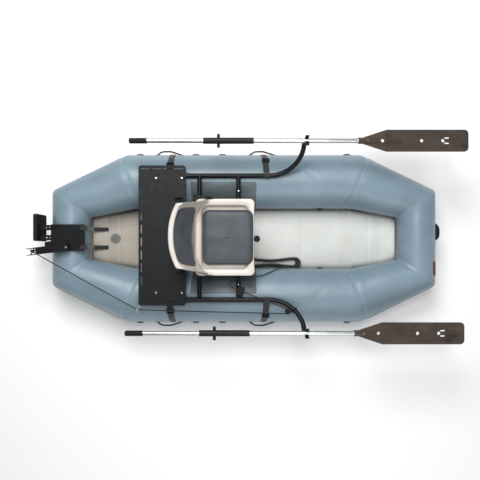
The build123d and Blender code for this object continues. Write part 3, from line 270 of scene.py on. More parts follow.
def drawnMetal(name, colour, roughness, along=(3, 160, 160)):
    # drawn tube: fine lines along its length, a little oxide bloom
    material, tree, shader = startMaterial(name, roughness, metallic=1.0)
    lines = noise(tree, objectPoint(tree, along), 8, 5, 0.65)
    bloom = between(tree, noise(tree, objectPoint(tree), 18, 5), 0.4, 0.75, 0, 0.4)
    paint(tree, shader, blendColour(tree, bloom, colour, "#8d9093"))
    tree.links.new(between(tree, lines, 0.3, 0.7, roughness - 0.08, roughness + 0.12),
                   shader.inputs["Roughness"])
    bumped(tree, shader, lines, 0.08, 0.0003)
    return material


def bladePlastic(name):
    # smoky brown moulded blade: glossy, with cloudy streaks where the melt ran
    material, tree, shader = startMaterial(name, 0.16, coat=0.5, coatRoughness=0.08)
    streaks = noise(tree, objectPoint(tree, (2, 5, 5)), 3, 4, 0.5)
    base = blendColour(tree, between(tree, streaks, 0.3, 0.8), "#3a312b", "#4d433b")
    blots = between(tree, noise(tree, objectPoint(tree), 7, 3), 0.56, 0.70, 0, 0.6)
    base = blendColour(tree, blots, base, "#17120f")
    paint(tree, shader, base)
    bumped(tree, shader, noise(tree, objectPoint(tree), 60, 3), 0.05, 0.002)
    return material


finishes = {
    "hullFabric": coatedFabric("blue grey coated fabric", "#7b919e", "#6e828e", 0.40),
    "seamTape": coatedFabric("blue grey seam tape", "#8298a6", "#758a97", 0.34),
    # painted shade: the dark grey cloth of the sheets on the side tubes under the seat
    "shadeCloth": coatedFabric("dark grey cloth for painted shade", "#565f64", "#4b5357", 0.6),
    "floorFabric": floorFabric("off-white deck fabric"),
    "powderBlack": powderCoat("black powder coat"),
    "deckBlack": powderCoat("black deck sheet coat", "#121315", "#7b7f84", 0.5),
    "blackPlastic": moulded("black moulded plastic", "#0c0d0e", "#17181a", 0.48),
    "greyPlastic": moulded("grey moulded plastic", "#6f7472", "#5e6361", 0.5),
    "blackRubber": moulded("black rubber", "#0b0b0c", "#161617", 0.62, 900, 0.25),
    "redPatch": moulded("dark red rubber patch", "#5e1418", "#471013", 0.55, 900, 0.2),
    "seatPlastic": seatPlastic("warm white rotomoulded plastic"),
    "seatVinyl": vinyl("charcoal grained vinyl"),
    "pipingVinyl": vinyl("charcoal piping vinyl", "#33373c", "#2b2f33"),
    "webbing": webbingCloth("black woven webbing"),
    "rope": ropeFibre("black braided cord"),
    "aluminium": drawnMetal("drawn aluminium", "#c9cbcc", 0.28),
    "stainless": drawnMetal("polished stainless steel", "#d6d6d4", 0.2, (20, 20, 20)),
    "blade": bladePlastic("smoky brown blade plastic"),
}
print("materials", len(finishes))


def meshFromArrays(name, points, faces, material, uv):
    mesh = bpy.data.meshes.new(name)
    mesh.from_pydata(points.reshape(-1, 3).tolist(), [], faces)
    layer = mesh.uv_layers.new(name="UVMap")
    corner = np.empty(len(mesh.loops), dtype=np.int32)
    mesh.loops.foreach_get("vertex_index", corner)
    layer.data.foreach_set("uv", uv.reshape(-1, 2)[corner].astype(np.float32).ravel())
    mesh.polygons.foreach_set("use_smooth", np.full(len(mesh.polygons), True))
    mesh.materials.append(material)
    mesh.update()
    piece = bpy.data.objects.new(name, mesh)
    bpy.context.scene.collection.objects.link(piece)
    return piece


def gridFaces(rows, columns, wrapRows=False, wrapColumns=False):
    # quads between neighbouring grid points, as one array
    i = np.arange(rows if wrapRows else rows - 1)[:, None]
    j = np.arange(columns if wrapColumns else columns - 1)[None, :]
    a = i * columns + j
    b = i * columns + (j + 1) % columns
    c = ((i + 1) % rows) * columns + (j + 1) % columns
    d = ((i + 1) % rows) * columns + j
    return np.stack(np.broadcast_arrays(a, b, c, d), axis=-1).reshape(-1, 4).tolist()


def rimOf(rows, columns):
    # the grid's outer points in order, once round
    rim = [i * columns for i in range(rows)] + [(rows - 1) * columns + j for j in range(1, columns)]
    rim += [i * columns + columns - 1 for i in range(rows - 2, -1, -1)]
    return rim + list(range(columns - 2, 0, -1))


def gridLengths(points):
    # UV map in metres: running length along rows and columns
    down = np.linalg.norm(np.diff(points, axis=0), axis=2).mean(axis=1)
    across = np.linalg.norm(np.diff(points, axis=1), axis=2).mean(axis=0)
    u = np.concatenate([[0], np.cumsum(down)])
    v = np.concatenate([[0], np.cumsum(across)])
    return np.stack(np.meshgrid(u, v, indexing="ij"), axis=-1)


def closedSweep(name, rings, material):
    # rings[i, j] is point j of section i; sections are joined and both ends capped
    rows, columns = rings.shape[:2]
    faces = gridFaces(rows, columns, wrapColumns=True)
    faces += [list(range(columns)), list(range((rows - 1) * columns, rows * columns))[::-1]]
    uv = gridLengths(np.concatenate([rings, rings[:, :1]], axis=1))[:, :columns]
    return meshFromArrays(name, rings, faces, material, uv)


def faceOutward(piece):
    # turn the mesh inside out if its signed volume is negative
    mesh = piece.data
    mesh.calc_loop_triangles()
    corner = np.empty(len(mesh.loop_triangles) * 3, dtype=np.int32)
    mesh.loop_triangles.foreach_get("vertices", corner)
    spots = np.empty(len(mesh.vertices) * 3)
    mesh.vertices.foreach_get("co", spots)
    tri = spots.reshape(-1, 3)[corner].reshape(-1, 3, 3)
    if np.einsum("ij,ij->i", tri[:, 0], np.cross(tri[:, 1], tri[:, 2])).sum() < 0:
        mesh.flip_normals()


def place(piece, slot, *nodes, body="boat"):
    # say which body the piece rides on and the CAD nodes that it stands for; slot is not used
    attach(piece, body)
    if nodes:
        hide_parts(*nodes)
    if piece.type == "MESH":
        faceOutward(piece)


def hullRings():
    # closed loop of eight welds; each is the plane curve where two tubes that hold the same sphere meet
    r1, r2 = hull["sideRadius"], hull["endRadius"]
    side, end = np.array(hull["sideCorner"]), np.array(hull["endCorner"])
    run = end - side
    sine = (r1 - r2) / np.linalg.norm(run)
    cosine = math.sqrt(1 - sine**2)
    q = run / np.linalg.norm(run)
    angle = np.linspace(0, 2 * np.pi, hull["around"], endpoint=False)
    n1 = np.array([cosine, 0, 0]) + q
    y1, z1 = r1 * np.cos(angle), r1 * np.sin(angle)
    x1 = (r1 * sine - n1[1] * y1 - n1[2] * z1) / n1[0]
    sideRing = side + np.stack([x1, y1, z1], axis=1)
    n2 = np.array([0, -cosine, 0]) + q
    x2, z2 = r2 * np.cos(angle), r2 * np.sin(angle)
    y2 = (r2 * sine - n2[0] * x2 - n2[2] * z2) / n2[1]
    endRing = end + np.stack([x2, y2, z2], axis=1)
    loop = []
    for ring, sx, sy in ((sideRing, 1, 1), (endRing, 1, 1), (endRing, 1, -1), (sideRing, 1, -1),
                         (sideRing, -1, -1), (endRing, -1, -1), (endRing, -1, 1), (sideRing, -1, 1)):
        loop.append(ring * (sx, sy, 1))
    return loop


def softened(points, reach, step):
    # Gaussian average along the closed loop, so the cloth turns a corner instead of creasing
    offsets = np.arange(-6, 7)
    weights = np.exp(-0.5 * (offsets * step / reach) ** 2)
    weights /= weights.sum()
    return sum(w * np.roll(points, k, axis=0) for w, k in zip(weights, offsets))


def pastWeld(points):
    # distance forward of a quarter's weld, in the same way at all four corners
    across = np.abs(points[..., 1]) - hull["sideCorner"][1]
    return np.abs(points[..., 0]) - hull["seamX"] - hull["seamSlope"] * across


def stationCounts(loop):
    # stations from each weld to the next, from the mean run between them
    return [max(6, round(np.linalg.norm((finish - start).mean(axis=0)) / hull["stationStep"]))
            for start, finish in zip(loop, loop[1:] + loop[:1])]


def surfaceNormals(points):
    # cross product of the two grid directions, at unit length
    along = np.roll(points, -1, axis=0) - np.roll(points, 1, axis=0)
    around = np.roll(points, -1, axis=1) - np.roll(points, 1, axis=1)
    normal = np.cross(around, along)
    return normal / np.linalg.norm(normal, axis=2, keepdims=True)


creases = {
    "weldPull": 0.0016, "weldSwell": 0.0010, "gather": 0.0018, "pucker": 0.0011, "puckerPitch": 0.052,
    "dent": 0.0024, "wave": 0.0007,
}


def hullSurface():
    # straight lines from weld ring to weld ring, softened at the welds, then lifted along the
    # normal by creases, each a cosine or a Gaussian of the distance from its line
    loop = hullRings()
    rows = []
    for start, finish, count in zip(loop, loop[1:] + loop[:1], stationCounts(loop)):
        share = np.arange(count)[:, None, None] / count
        rows.append(start[None] * (1 - share) + finish[None] * share)
    points = np.concatenate(rows)
    points = softened(points, hull["cornerBlend"], hull["stationStep"])
    normal = surfaceNormals(points)
    x, y, z = points[..., 0], points[..., 1], points[..., 2]
    angle = np.linspace(0, 2 * np.pi, hull["around"], endpoint=False)[None, :]
    inner = np.clip(-np.cos(angle), 0, 1)
    upper = np.clip(np.sin(angle), 0, 1)
    lift = np.zeros_like(x)
    # the weld pulls the cloth in a little, and it swells either side
    weld = pastWeld(points)
    lift -= creases["weldPull"] * np.exp(-(weld / 0.012) ** 2) * (np.abs(x) > 0.6)
    lift += creases["weldSwell"] * np.exp(-((np.abs(weld) - 0.035) / 0.02) ** 2) * (np.abs(x) > 0.6)
    # gathered cloth on the inside of each end corner
    reach = np.hypot(np.abs(x) - hull["endCorner"][0], np.abs(y) - hull["endCorner"][1])
    fan = np.arctan2(np.abs(y) - hull["endCorner"][1], np.abs(x) - hull["endCorner"][0])
    lift += creases["gather"] * inner * np.exp(-(reach / 0.11) ** 2) * np.cos(fan * 9 + 0.6)
    # short puckers on the inside of each side corner
    pucker = np.exp(-(weld / 0.09) ** 2) * inner * (np.abs(x) > 0.5)
    lift += creases["pucker"] * pucker * np.cos((np.abs(x) + 0.4 * z) * 2 * np.pi / creases["puckerPitch"])
    # a long shallow diagonal dent forward of each oarlock
    dentX, dentY = x - hull["dentX"], np.abs(y) - hull["sideCorner"][1]
    across = dentY * 0.72 + dentX * 0.70
    down = dentY * 0.70 - dentX * 0.72
    lift -= creases["dent"] * np.exp(-(across / 0.016) ** 2 - (down / 0.08) ** 2) * upper
    lift += creases["wave"] * np.sin(x * 9.0 + 2.0 * np.abs(y)) * upper
    points = points + normal * lift[..., None]
    points[..., 2] = np.maximum(points[..., 2], 0.0005)
    return points


hullPoints = hullSurface()
hullNormals = surfaceNormals(hullPoints)
hullRows, hullColumns = hullPoints.shape[:2]
hullLengths = np.concatenate([[0], np.cumsum(np.linalg.norm(
    np.roll(hullPoints, -1, axis=0) - hullPoints, axis=2).mean(axis=1))])


def hullAt(row, angle, lift):
    # point on the skin at a fractional row and an angle round the tube, lifted along its normal
    row, angle, lift = np.broadcast_arrays(row, angle, lift)
    column = (angle / (2 * np.pi) * hullColumns) % hullColumns
    row = row % hullRows
    i, j = np.floor(row).astype(int), np.floor(column).astype(int)
    fi, fj = (row - i)[..., None], (column - j)[..., None]

    def read(table):
        here, ahead = i % hullRows, (i + 1) % hullRows
        left, right = j % hullColumns, (j + 1) % hullColumns
        near = table[here, left] * (1 - fj) + table[here, right] * fj
        far = table[ahead, left] * (1 - fj) + table[ahead, right] * fj
        return near * (1 - fi) + far * fi

    return read(hullPoints) + read(hullNormals) * lift[..., None]


def makeHull():
    faces = gridFaces(hullRows, hullColumns, True, True)
    u = hullLengths[:-1][:, None] * np.ones((1, hullColumns))
    v = np.linspace(0, 1.0, hullColumns, endpoint=False)[None, :] * np.ones((hullRows, 1))
    piece = meshFromArrays("hullSkin", hullPoints, faces, finishes["hullFabric"], np.stack([u, v], axis=-1))
    place(piece, "hull_coated_fabric", "hull_sides", "hull_quarters", "hull_ends")
    return piece


def rowWhere(test, first, last):
    # for each column, the fractional row between first and last where test changes sign
    rows = np.arange(first, last) % hullRows
    values = test(hullPoints[rows])
    change = np.argmax(np.diff(np.sign(values), axis=0) != 0, axis=0)
    column = np.arange(hullColumns)
    a, b = values[change, column], values[change + 1, column]
    return first + change + a / (a - b + 1e-12)


seams = {                      # half width and height of each tape
    "quarter": (0.007, 0.0014), "end": (0.006, 0.0010), "panel": (0.008, 0.0006),
    "sunk": 0.0012, "reach": 14,
}


def skinStrip(name, rowLine, angles, halfWidth, height, material):
    # thin strip on the skin: rowLine gives its middle at each angle; its section is a low hump
    across = np.linspace(-1, 1, 9)
    hump = height * (1 - across**4) - 0.0006
    rows = rowLine[:, None] + across[None, :] * halfWidth / hull["stationStep"]
    top = hullAt(rows, angles[:, None], hump[None, :])
    under = hullAt(rows[:, ::-1], angles[:, None], -seams["sunk"])
    return closedSweep(name, np.concatenate([top, under], axis=1), material)


def makeSeams():
    # tape over the four quarter welds, the four end welds and a panel joint on each side tube
    step = 2 * np.pi / hullColumns
    angles = np.arange(-3, hullColumns // 2 + 4) * step
    corners = np.cumsum([0] + stationCounts(hullRings()))
    columns = np.round(angles / step).astype(int) % hullColumns
    for made, k in enumerate((0, 3, 4, 7)):
        line = rowWhere(pastWeld, corners[k] - seams["reach"], corners[k] + seams["reach"])[columns]
        piece = skinStrip(f"quarterSeam{made}", line, angles, *seams["quarter"], finishes["seamTape"])
        place(piece, "hull_coated_fabric")
    for made, k in enumerate((1, 2, 5, 6), start=4):
        line = np.full(len(angles), float(corners[k]))
        piece = skinStrip(f"endSeam{made}", line, angles, *seams["end"], finishes["seamTape"])
        place(piece, "hull_coated_fabric")
    for k, first, last in ((0, corners[7], corners[8]), (1, corners[3], corners[4])):
        line = rowWhere(lambda p: p[..., 0] - hull["panelX"], first, last)[columns]
        piece = skinStrip(f"panelSeam{k}", line, angles, *seams["panel"], finishes["seamTape"])
        place(piece, "hull_coated_fabric")
    return corners


# painted shade under the seat: where the dark sheet starts and ends along the boat, its turn round the tube,
# grid and height
shadeSheet = {"rear": -0.352, "front": 0.082, "turn": (96, 196), "along": 60, "around": 44, "height": 0.0012}


def makeShadeSheets(corners):
    # a darker sheet of painted shade on the inner half of each side tube, under the seat and the frame: two
    # skins joined at the rim
    rowCount, columnCount = shadeSheet["along"], shadeSheet["around"]
    total = rowCount * columnCount
    for k, first, last in ((0, corners[7], corners[8]), (1, corners[3], corners[4])):
        rowA = rowWhere(lambda p: p[..., 0] - shadeSheet["rear"], first, last).mean()
        rowB = rowWhere(lambda p: p[..., 0] - shadeSheet["front"], first, last).mean()
        lengthwise = np.linspace(0, 1, rowCount)
        turn = np.linspace(*np.radians(shadeSheet["turn"]), columnCount)
        rows = rowA + (rowB - rowA) * lengthwise[:, None]
        edge = np.minimum(np.minimum(lengthwise, 1 - lengthwise)[:, None] * 200,
                          np.minimum(turn - turn[0], turn[-1] - turn)[None, :] * 60)
        top = hullAt(rows, turn[None, :], shadeSheet["height"] * np.tanh(edge) - 0.0002)
        under = hullAt(rows, turn[None, :], -seams["sunk"])
        points = np.concatenate([top.reshape(-1, 3), under.reshape(-1, 3)])
        faces = gridFaces(rowCount, columnCount)
        faces += [[total + v for v in face[::-1]] for face in faces]
        rim = rimOf(rowCount, columnCount)
        faces += [[total + a, total + b, b, a] for a, b in zip(rim, rim[1:] + rim[:1])]
        uv = np.concatenate([gridLengths(top).reshape(-1, 2)] * 2)
        piece = meshFromArrays(f"paintedShadeSheet{k}", points, faces, finishes["shadeCloth"], uv)
        place(piece, "hull_coated_fabric")


strake = {"half": 0.015, "height": 0.0045, "margin": 3, "sunk": 0.0015}


def makeStrakes(corners):
    # ribbed rubber strip round the outside of the bow and of the stern
    for k, first, last in ((0, corners[0], corners[3]), (1, corners[4], corners[7])):
        rows = np.linspace(first + strake["margin"], last - strake["margin"], 260)
        side = np.linspace(-1, 1, 13)
        height = strake["height"] * (1 - side**6) * (0.86 + 0.14 * np.cos(side * 3 * np.pi)) - 0.0004
        radius = 0.5 * (hull["sideRadius"] + hull["endRadius"])
        angle = side * strake["half"] / radius
        top = hullAt(rows[:, None], angle[None, :], height[None, :])
        under = hullAt(rows[:, None], angle[None, ::-1], -strake["sunk"])
        piece = closedSweep(f"rubStrake{k}", np.concatenate([top, under], axis=1), finishes["blackRubber"])
        place(piece, "black_rubber", *(["rub_strakes"] if k == 0 else []))


bowHandle = {"middle": 0.042, "half": 0.058, "reach": 0.034, "height": 0.222, "face": 1.2625, "thick": 0.013}


def makeBowHandle():
    # moulded rubber grip: flat ovals carried across the bow, standing furthest out in the middle
    share = np.linspace(-1, 1, 61)
    stand = bowHandle["reach"] * np.clip(1 - np.abs(share) ** 3.2, 0.06, 1) ** 0.8
    turn = np.linspace(0, 2 * np.pi, 28, endpoint=False)
    thick = bowHandle["thick"] * (1 - 0.35 * (1 - np.abs(share)) ** 2)
    x = bowHandle["face"] + stand[:, None] * (0.5 + 0.5 * np.cos(turn)[None, :])
    y = bowHandle["middle"] + share[:, None] * bowHandle["half"] * np.ones((1, 28))
    z = bowHandle["height"] + thick[:, None] * np.sin(turn)[None, :]
    ribs = 0.0008 * np.cos(share * 16 * np.pi)[:, None] * np.clip(np.cos(turn), 0, 1)[None, :]
    piece = closedSweep("bowHandle", np.stack([x + ribs, y, z], axis=-1), finishes["blackRubber"])
    place(piece, "black_rubber", "bow_handle")


bowPatch = {"share": (0.75, 0.91), "turn": (4, 46), "height": 0.0016, "along": 24, "around": 20}


def makeBowPatch(corners):
    # plain rubber patch on the bow's face, to starboard of the handle
    along, around = bowPatch["along"], bowPatch["around"]
    first, last = (corners[1] + (corners[2] - corners[1]) * share for share in bowPatch["share"])
    rows = np.linspace(first, last, along)[:, None]
    angle = np.radians(np.linspace(*bowPatch["turn"], around))[None, :]
    u = np.linspace(-1, 1, along)[:, None]
    v = np.linspace(-1, 1, around)[None, :]
    height = bowPatch["height"] * np.clip(1 - (u**8 + v**8), -0.6, 1)
    top = hullAt(rows, angle, height)
    under = hullAt(rows, angle[:, ::-1], -strake["sunk"])
    piece = closedSweep("bowPatch", np.concatenate([top, under], axis=1), finishes["redPatch"])
    place(piece, "black_rubber")


makeHull()
makeBowHandle()
weldRows = makeSeams()
makeShadeSheets(weldRows)
makeStrakes(weldRows)
makeBowPatch(weldRows)
print("hull skin", hullRows, "x", hullColumns)

floor = {
    "top": 0.110, "bottom": 0.020, "rise": 0.055, "flat": 0.925,
    "seams": (0.389, 0.842, -0.841), "seamHalf": 0.006, "seamDepth": 0.0022, "crown": 0.010, "edge": 0.016,
    "meet": 0.160,             # height at which the pad meets the bow and stern tubes
    "crimpX": 0.670, "crimpPitch": 0.035, "crimpDepth": 0.009,
}


def floorHalfWidth(x, z):
    # how far out the pad may go at a height: the gap between the tubes there, less a millimetre
    reach = np.abs(x)
    side, end = hull["sideCorner"], hull["endCorner"]
    share = np.clip((reach - side[0]) / (end[0] - side[0]), 0, 1)
    radius = hull["sideRadius"] * (1 - share) + hull["endRadius"] * share
    middleY = side[1] * (1 - share) + end[1] * share
    middleZ = side[2] * (1 - share) + end[2] * share
    chord = np.sqrt(np.clip(radius**2 - (middleZ - z) ** 2, 0.0004, None))
    return middleY - chord / np.cos(np.arctan2(0.141, 0.4055) * (share > 0)) - 0.0035


def makeFloor():
    # each section is a superellipse between the tubes; x runs along the boat
    drop = hull["endCorner"][2] - floor["meet"]
    far = hull["endCorner"][0] - math.sqrt(hull["endRadius"] ** 2 - drop**2) - 0.002
    x = np.concatenate([[-far], np.linspace(-far, far, 360)[1:-1], [far]])
    slope = (np.abs(x) - floor["flat"]) / (hull["endCorner"][0] - floor["flat"])
    rise = floor["rise"] * np.clip(slope, 0, 1)
    top = floor["top"] + rise
    groove = sum(np.exp(-((x - seam) / floor["seamHalf"]) ** 2) for seam in floor["seams"])
    turn = np.linspace(0, 2 * np.pi, 96, endpoint=False)
    c, s = np.cos(turn), np.sin(turn)
    flatC = np.sign(c) * np.abs(c) ** 0.22
    flatS = np.sign(s) * np.abs(s) ** 0.55
    thick = (top - np.maximum(floor["bottom"], 0.012 + 0.5 * rise)) / 2
    endIn = np.clip((far - np.abs(x)) / floor["edge"], 0, 1)
    rounded = np.sqrt(1 - (1 - endIn) ** 2)
    z = (top - thick)[:, None] + (thick * (0.25 + 0.75 * rounded))[:, None] * flatS[None, :]
    width = floorHalfWidth(x[:, None], np.maximum(z, 0.035))
    y = width * flatC[None, :] * (0.985 + 0.015 * rounded[:, None])
    upper = np.clip(s, 0, 1)[None, :]
    crown = floor["crown"] * 0.35 * (1 - (y / width.max()) ** 2)
    z = z + upper * (crown - floor["seamDepth"] * groove[:, None])
    # crimps where the pad turns under the quarters
    crimp = np.exp(-((np.abs(x)[:, None] - floor["crimpX"]) / 0.05) ** 2)
    crimp = crimp * np.clip(np.abs(flatC) - 0.7, 0, 1)[None, :] / 0.3
    wave = 0.6 + 0.4 * np.cos(x[:, None] * 2 * np.pi / floor["crimpPitch"])
    z = z - upper * crimp * floor["crimpDepth"] * wave
    points = np.stack([x[:, None] * np.ones_like(y), y, z], axis=-1)
    piece = closedSweep("floorPad", points, finishes["floorFabric"])
    place(piece, "floor_coated_fabric", "floor_pad")


makeFloor()
print("floor pad")


seat = {
    "rear": -0.303, "front": 0.066, "half": 0.237, "bottom": 0.425, "top": 0.492, "pocket": 0.467,
    "corner": 0.032,
}
cushion = {
    "rear": -0.253, "front": 0.052, "half": 0.166, "low": 0.467, "top": 0.512, "corner": 0.040,
    "crown": 0.020, "piping": 0.0028, "pull": 0.012, "sit": 0.0035, "pucker": 0.0006,
}
back = {
    "bottom": 0.502, "top": 0.785, "bottomMid": -0.322, "topMid": -0.428, "bottomCorner": -0.241,
    "topCorner": -0.382, "bottomHalf": 0.223, "topHalf": 0.184, "wall": 0.006,
    "flare": 0.016, "padHalf": (0.83, 0.40), "padMiddle": 0.53, "padCrown": 0.024,
}


outlinePoints = 128      # round the seat pan and the seat cushion


def roundedOutline(halfX, halfY, corner, count):
    # rounded rectangle read at even angles: straight runs joined by quarter circles, counter-clockwise
    per = count // 4
    quarter = np.linspace(0, np.pi / 2, per // 2)
    parts = []
    for k, (sx, sy) in enumerate(((1, 1), (-1, 1), (-1, -1), (1, -1))):
        turn = quarter + k * np.pi / 2
        arc = np.stack([sx * (halfX - corner) + corner * np.cos(turn),
                        sy * (halfY - corner) + corner * np.sin(turn)], axis=1)
        nextX, nextY = ((-1, 1), (-1, -1), (1, -1), (1, 1))[k]
        turnTo = (k + 1) * np.pi / 2
        goal = np.array([nextX * (halfX - corner) + corner * np.cos(turnTo),
                         nextY * (halfY - corner) + corner * np.sin(turnTo)])
        share = np.linspace(0, 1, per - per // 2 + 2)[1:-1][:, None]
        parts.append(np.concatenate([arc, arc[-1] * (1 - share) + goal * share]))
    return np.concatenate(parts)


def domeStack(name, centre, halfX, halfY, corner, profile, material, reshape):
    # profile rows are (inset, height): rounded outlines stacked from the middle underneath
    # to the middle on top
    rings = []
    for inset, height in profile:
        hx, hy = halfX - inset, halfY - inset
        if inset < min(halfX, halfY) - corner:
            bend = min(corner, hx * 0.98, hy * 0.98)
        else:
            bend = min(hx, hy) * 0.6
        outline = roundedOutline(hx, hy, max(bend, 0.0005), outlinePoints) + np.array(centre)
        rings.append(np.column_stack([outline, np.full(len(outline), height)]))
    rings = reshape(np.array(rings))
    shrink = np.array([0.02, 0.15, 0.35, 0.6, 0.82])[:, None, None]

    def shrunk(ring):
        hub = ring.mean(axis=0)
        return hub + (ring - hub) * shrink

    rings = np.concatenate([shrunk(rings[0]), rings, shrunk(rings[-1])[::-1]])
    return closedSweep(name, rings, material)


def makeSeatPan():
    # rotomoulded pan: underside, outer wall, rolled rim, bolster and cushion pocket in one profile
    half = (seat["front"] - seat["rear"]) / 2
    middle = (seat["front"] + seat["rear"]) / 2
    t, b, p = seat["top"], seat["bottom"], seat["pocket"]
    profile = [(0.110, b + 0.006), (0.060, b + 0.006), (0.040, b), (0.026, b + 0.002), (0.020, b + 0.008),
               (0.010, b + 0.036), (0.0045, t - 0.018), (0.0015, t - 0.011), (0.0, t - 0.007),
               (0.0008, t - 0.003),
               (0.0035, t - 0.0006), (0.008, t), (0.020, t - 0.0005), (0.032, t - 0.002), (0.038, t - 0.005),
               (0.042, t - 0.011), (0.045, p + 0.006), (0.048, p + 0.0015), (0.054, p), (0.110, p - 0.0005)]

    def bend(rings):
        # the front edge sweeps back in the middle
        x, y = rings[..., 0], rings[..., 1]
        ahead = np.clip((x - 0.02) / 0.05, 0, 1)
        rings[..., 0] = x - ahead * 0.009 * (1 - (y / seat["half"]) ** 2)
        return rings

    piece = domeStack("seatPan", (middle, 0), half, seat["half"], seat["corner"], profile,
                      finishes["seatPlastic"], bend)
    place(piece, "seat_shell_plastic", "seat_pan")


def makeSeatCushion():
    # crowned pad with a piped seam round its edge
    halfX = (cushion["front"] - cushion["rear"]) / 2
    middle = (cushion["front"] + cushion["rear"]) / 2
    low, top = cushion["low"] + 0.0015, cushion["top"]
    seamZ = top - cushion["crown"]
    profile = [(0.105, low), (0.030, low), (0.012, low + 0.002), (0.004, low + 0.010),
               (0.0008, seamZ - 0.006), (0.0, seamZ - 0.002), (0.0022, seamZ), (0.0004, seamZ + 0.002),
               (0.0035, seamZ + 0.0085), (0.010, seamZ + 0.0145), (0.020, seamZ + 0.0172),
               (0.034, seamZ + 0.0184), (0.055, seamZ + 0.0193), (0.080, seamZ + 0.0198),
               (0.105, seamZ + 0.020)]

    def pull(x):
        return 1 - cushion["pull"] * (1 - np.clip(np.abs(x) / halfX, 0, 1) ** 2)

    def tuck(rings):
        # sides pull in between the corners, and the top has soft sitting hollows and puckers by the seam
        x, y, z = rings[..., 0] - middle, rings[..., 1], rings[..., 2]
        rings[..., 1] = y * pull(x)
        upper = np.clip((z - seamZ) / 0.012, 0, 1)
        sit = np.exp(-((x + 0.03) / 0.085) ** 2 - ((np.abs(y) - 0.055) / 0.05) ** 2)
        edge = np.minimum(halfX - np.abs(x), cushion["half"] - np.abs(y))
        pucker = np.exp(-((edge - 0.012) / 0.010) ** 2) * (np.sin(x * 210) * np.sin(y * 190))
        rings[..., 2] = z - upper * (cushion["sit"] * sit + cushion["pucker"] * pucker)
        return rings

    piece = domeStack("seatCushion", (middle, 0), halfX, cushion["half"], cushion["corner"], profile,
                      finishes["seatVinyl"], tuck)
    place(piece, "seat_vinyl", "seat_cushion")
    outline = roundedOutline(halfX + 0.0004, cushion["half"] + 0.0004, cushion["corner"], outlinePoints)
    outline[:, 1] *= pull(outline[:, 0])
    line = np.column_stack([outline[:, 0] + middle, outline[:, 1], np.full(len(outline), seamZ)])
    place(ringCord("seatPiping", line, cushion["piping"], finishes["pipingVinyl"]), "seat_vinyl")


def ringCord(name, line, radius, material):
    # round cord along a closed line
    along = np.roll(line, -1, axis=0) - np.roll(line, 1, axis=0)
    along /= np.linalg.norm(along, axis=1, keepdims=True)
    side = np.cross(along, (0, 0, 1))
    side /= np.linalg.norm(side, axis=1, keepdims=True)
    up = np.cross(side, along)
    sides = 10
    turn = np.linspace(0, 2 * np.pi, sides, endpoint=False)[None, :, None]
    rings = line[:, None] + radius * (np.cos(turn) * side[:, None] + np.sin(turn) * up[:, None])
    uv = gridLengths(np.concatenate([rings, rings[:, :1]], axis=1))[:, :sides]
    return meshFromArrays(name, rings, gridFaces(len(line), sides, True, True), material, uv)


def backPlace(across, share, depth):
    # point of the seat back: across runs -1 to 1, share from bottom to top, depth forward of its rear face
    half = back["bottomHalf"] + share * (back["topHalf"] - back["bottomHalf"])
    mid = back["bottomMid"] + share * (back["topMid"] - back["bottomMid"])
    corner = back["bottomCorner"] + share * (back["topCorner"] - back["bottomCorner"])
    x = mid + (corner - mid) * np.abs(across) ** 2.2 + depth
    z = back["bottom"] + share * (back["top"] - back["bottom"])
    return np.stack(np.broadcast_arrays(x, across * half, z), axis=-1)


def makeBackShell():
    # closed sheet: rear face up, over the rolled rim, front face down
    across = np.linspace(-1, 1, 81)
    rim = np.linspace(0, np.pi, 7)
    shares = np.concatenate([np.linspace(0, 0.96, 30), [0.985, 1.0], np.full(7, 1.0), [0.985, 0.965],
                             np.linspace(0.95, 0, 30)])
    depth = np.concatenate([np.zeros(30), [-0.002, -0.0045], 0.0105 - 0.0155 * np.cos(rim), [0.024, 0.014],
                            np.full(30, back["wall"])])
    extraZ = np.concatenate([np.zeros(32), 0.0115 * np.sin(rim), np.zeros(32)])
    edge = np.clip((1 - np.abs(across)) / 0.05, 0, 1)
    points = backPlace(across[None, :], shares[:, None], depth[:, None])
    flare = np.clip((np.abs(across) - 0.88) / 0.12, 0, 1)[None, :] ** 1.5
    forward = (depth > 0.003)[:, None]
    points[..., 0] += flare * back["flare"] * forward
    points[..., 2] += extraZ[:, None] * (0.4 + 0.6 * edge[None, :])
    rows, columns = points.shape[:2]
    faces = gridFaces(rows, columns, wrapRows=True)
    faces.append(list(range(0, rows * columns, columns))[::-1])
    faces.append(list(range(columns - 1, rows * columns, columns)))
    piece = meshFromArrays("seatBackShell", points, faces, finishes["seatPlastic"], gridLengths(points))
    place(piece, "seat_shell_plastic", "seat_back_shell", body="seat_back")


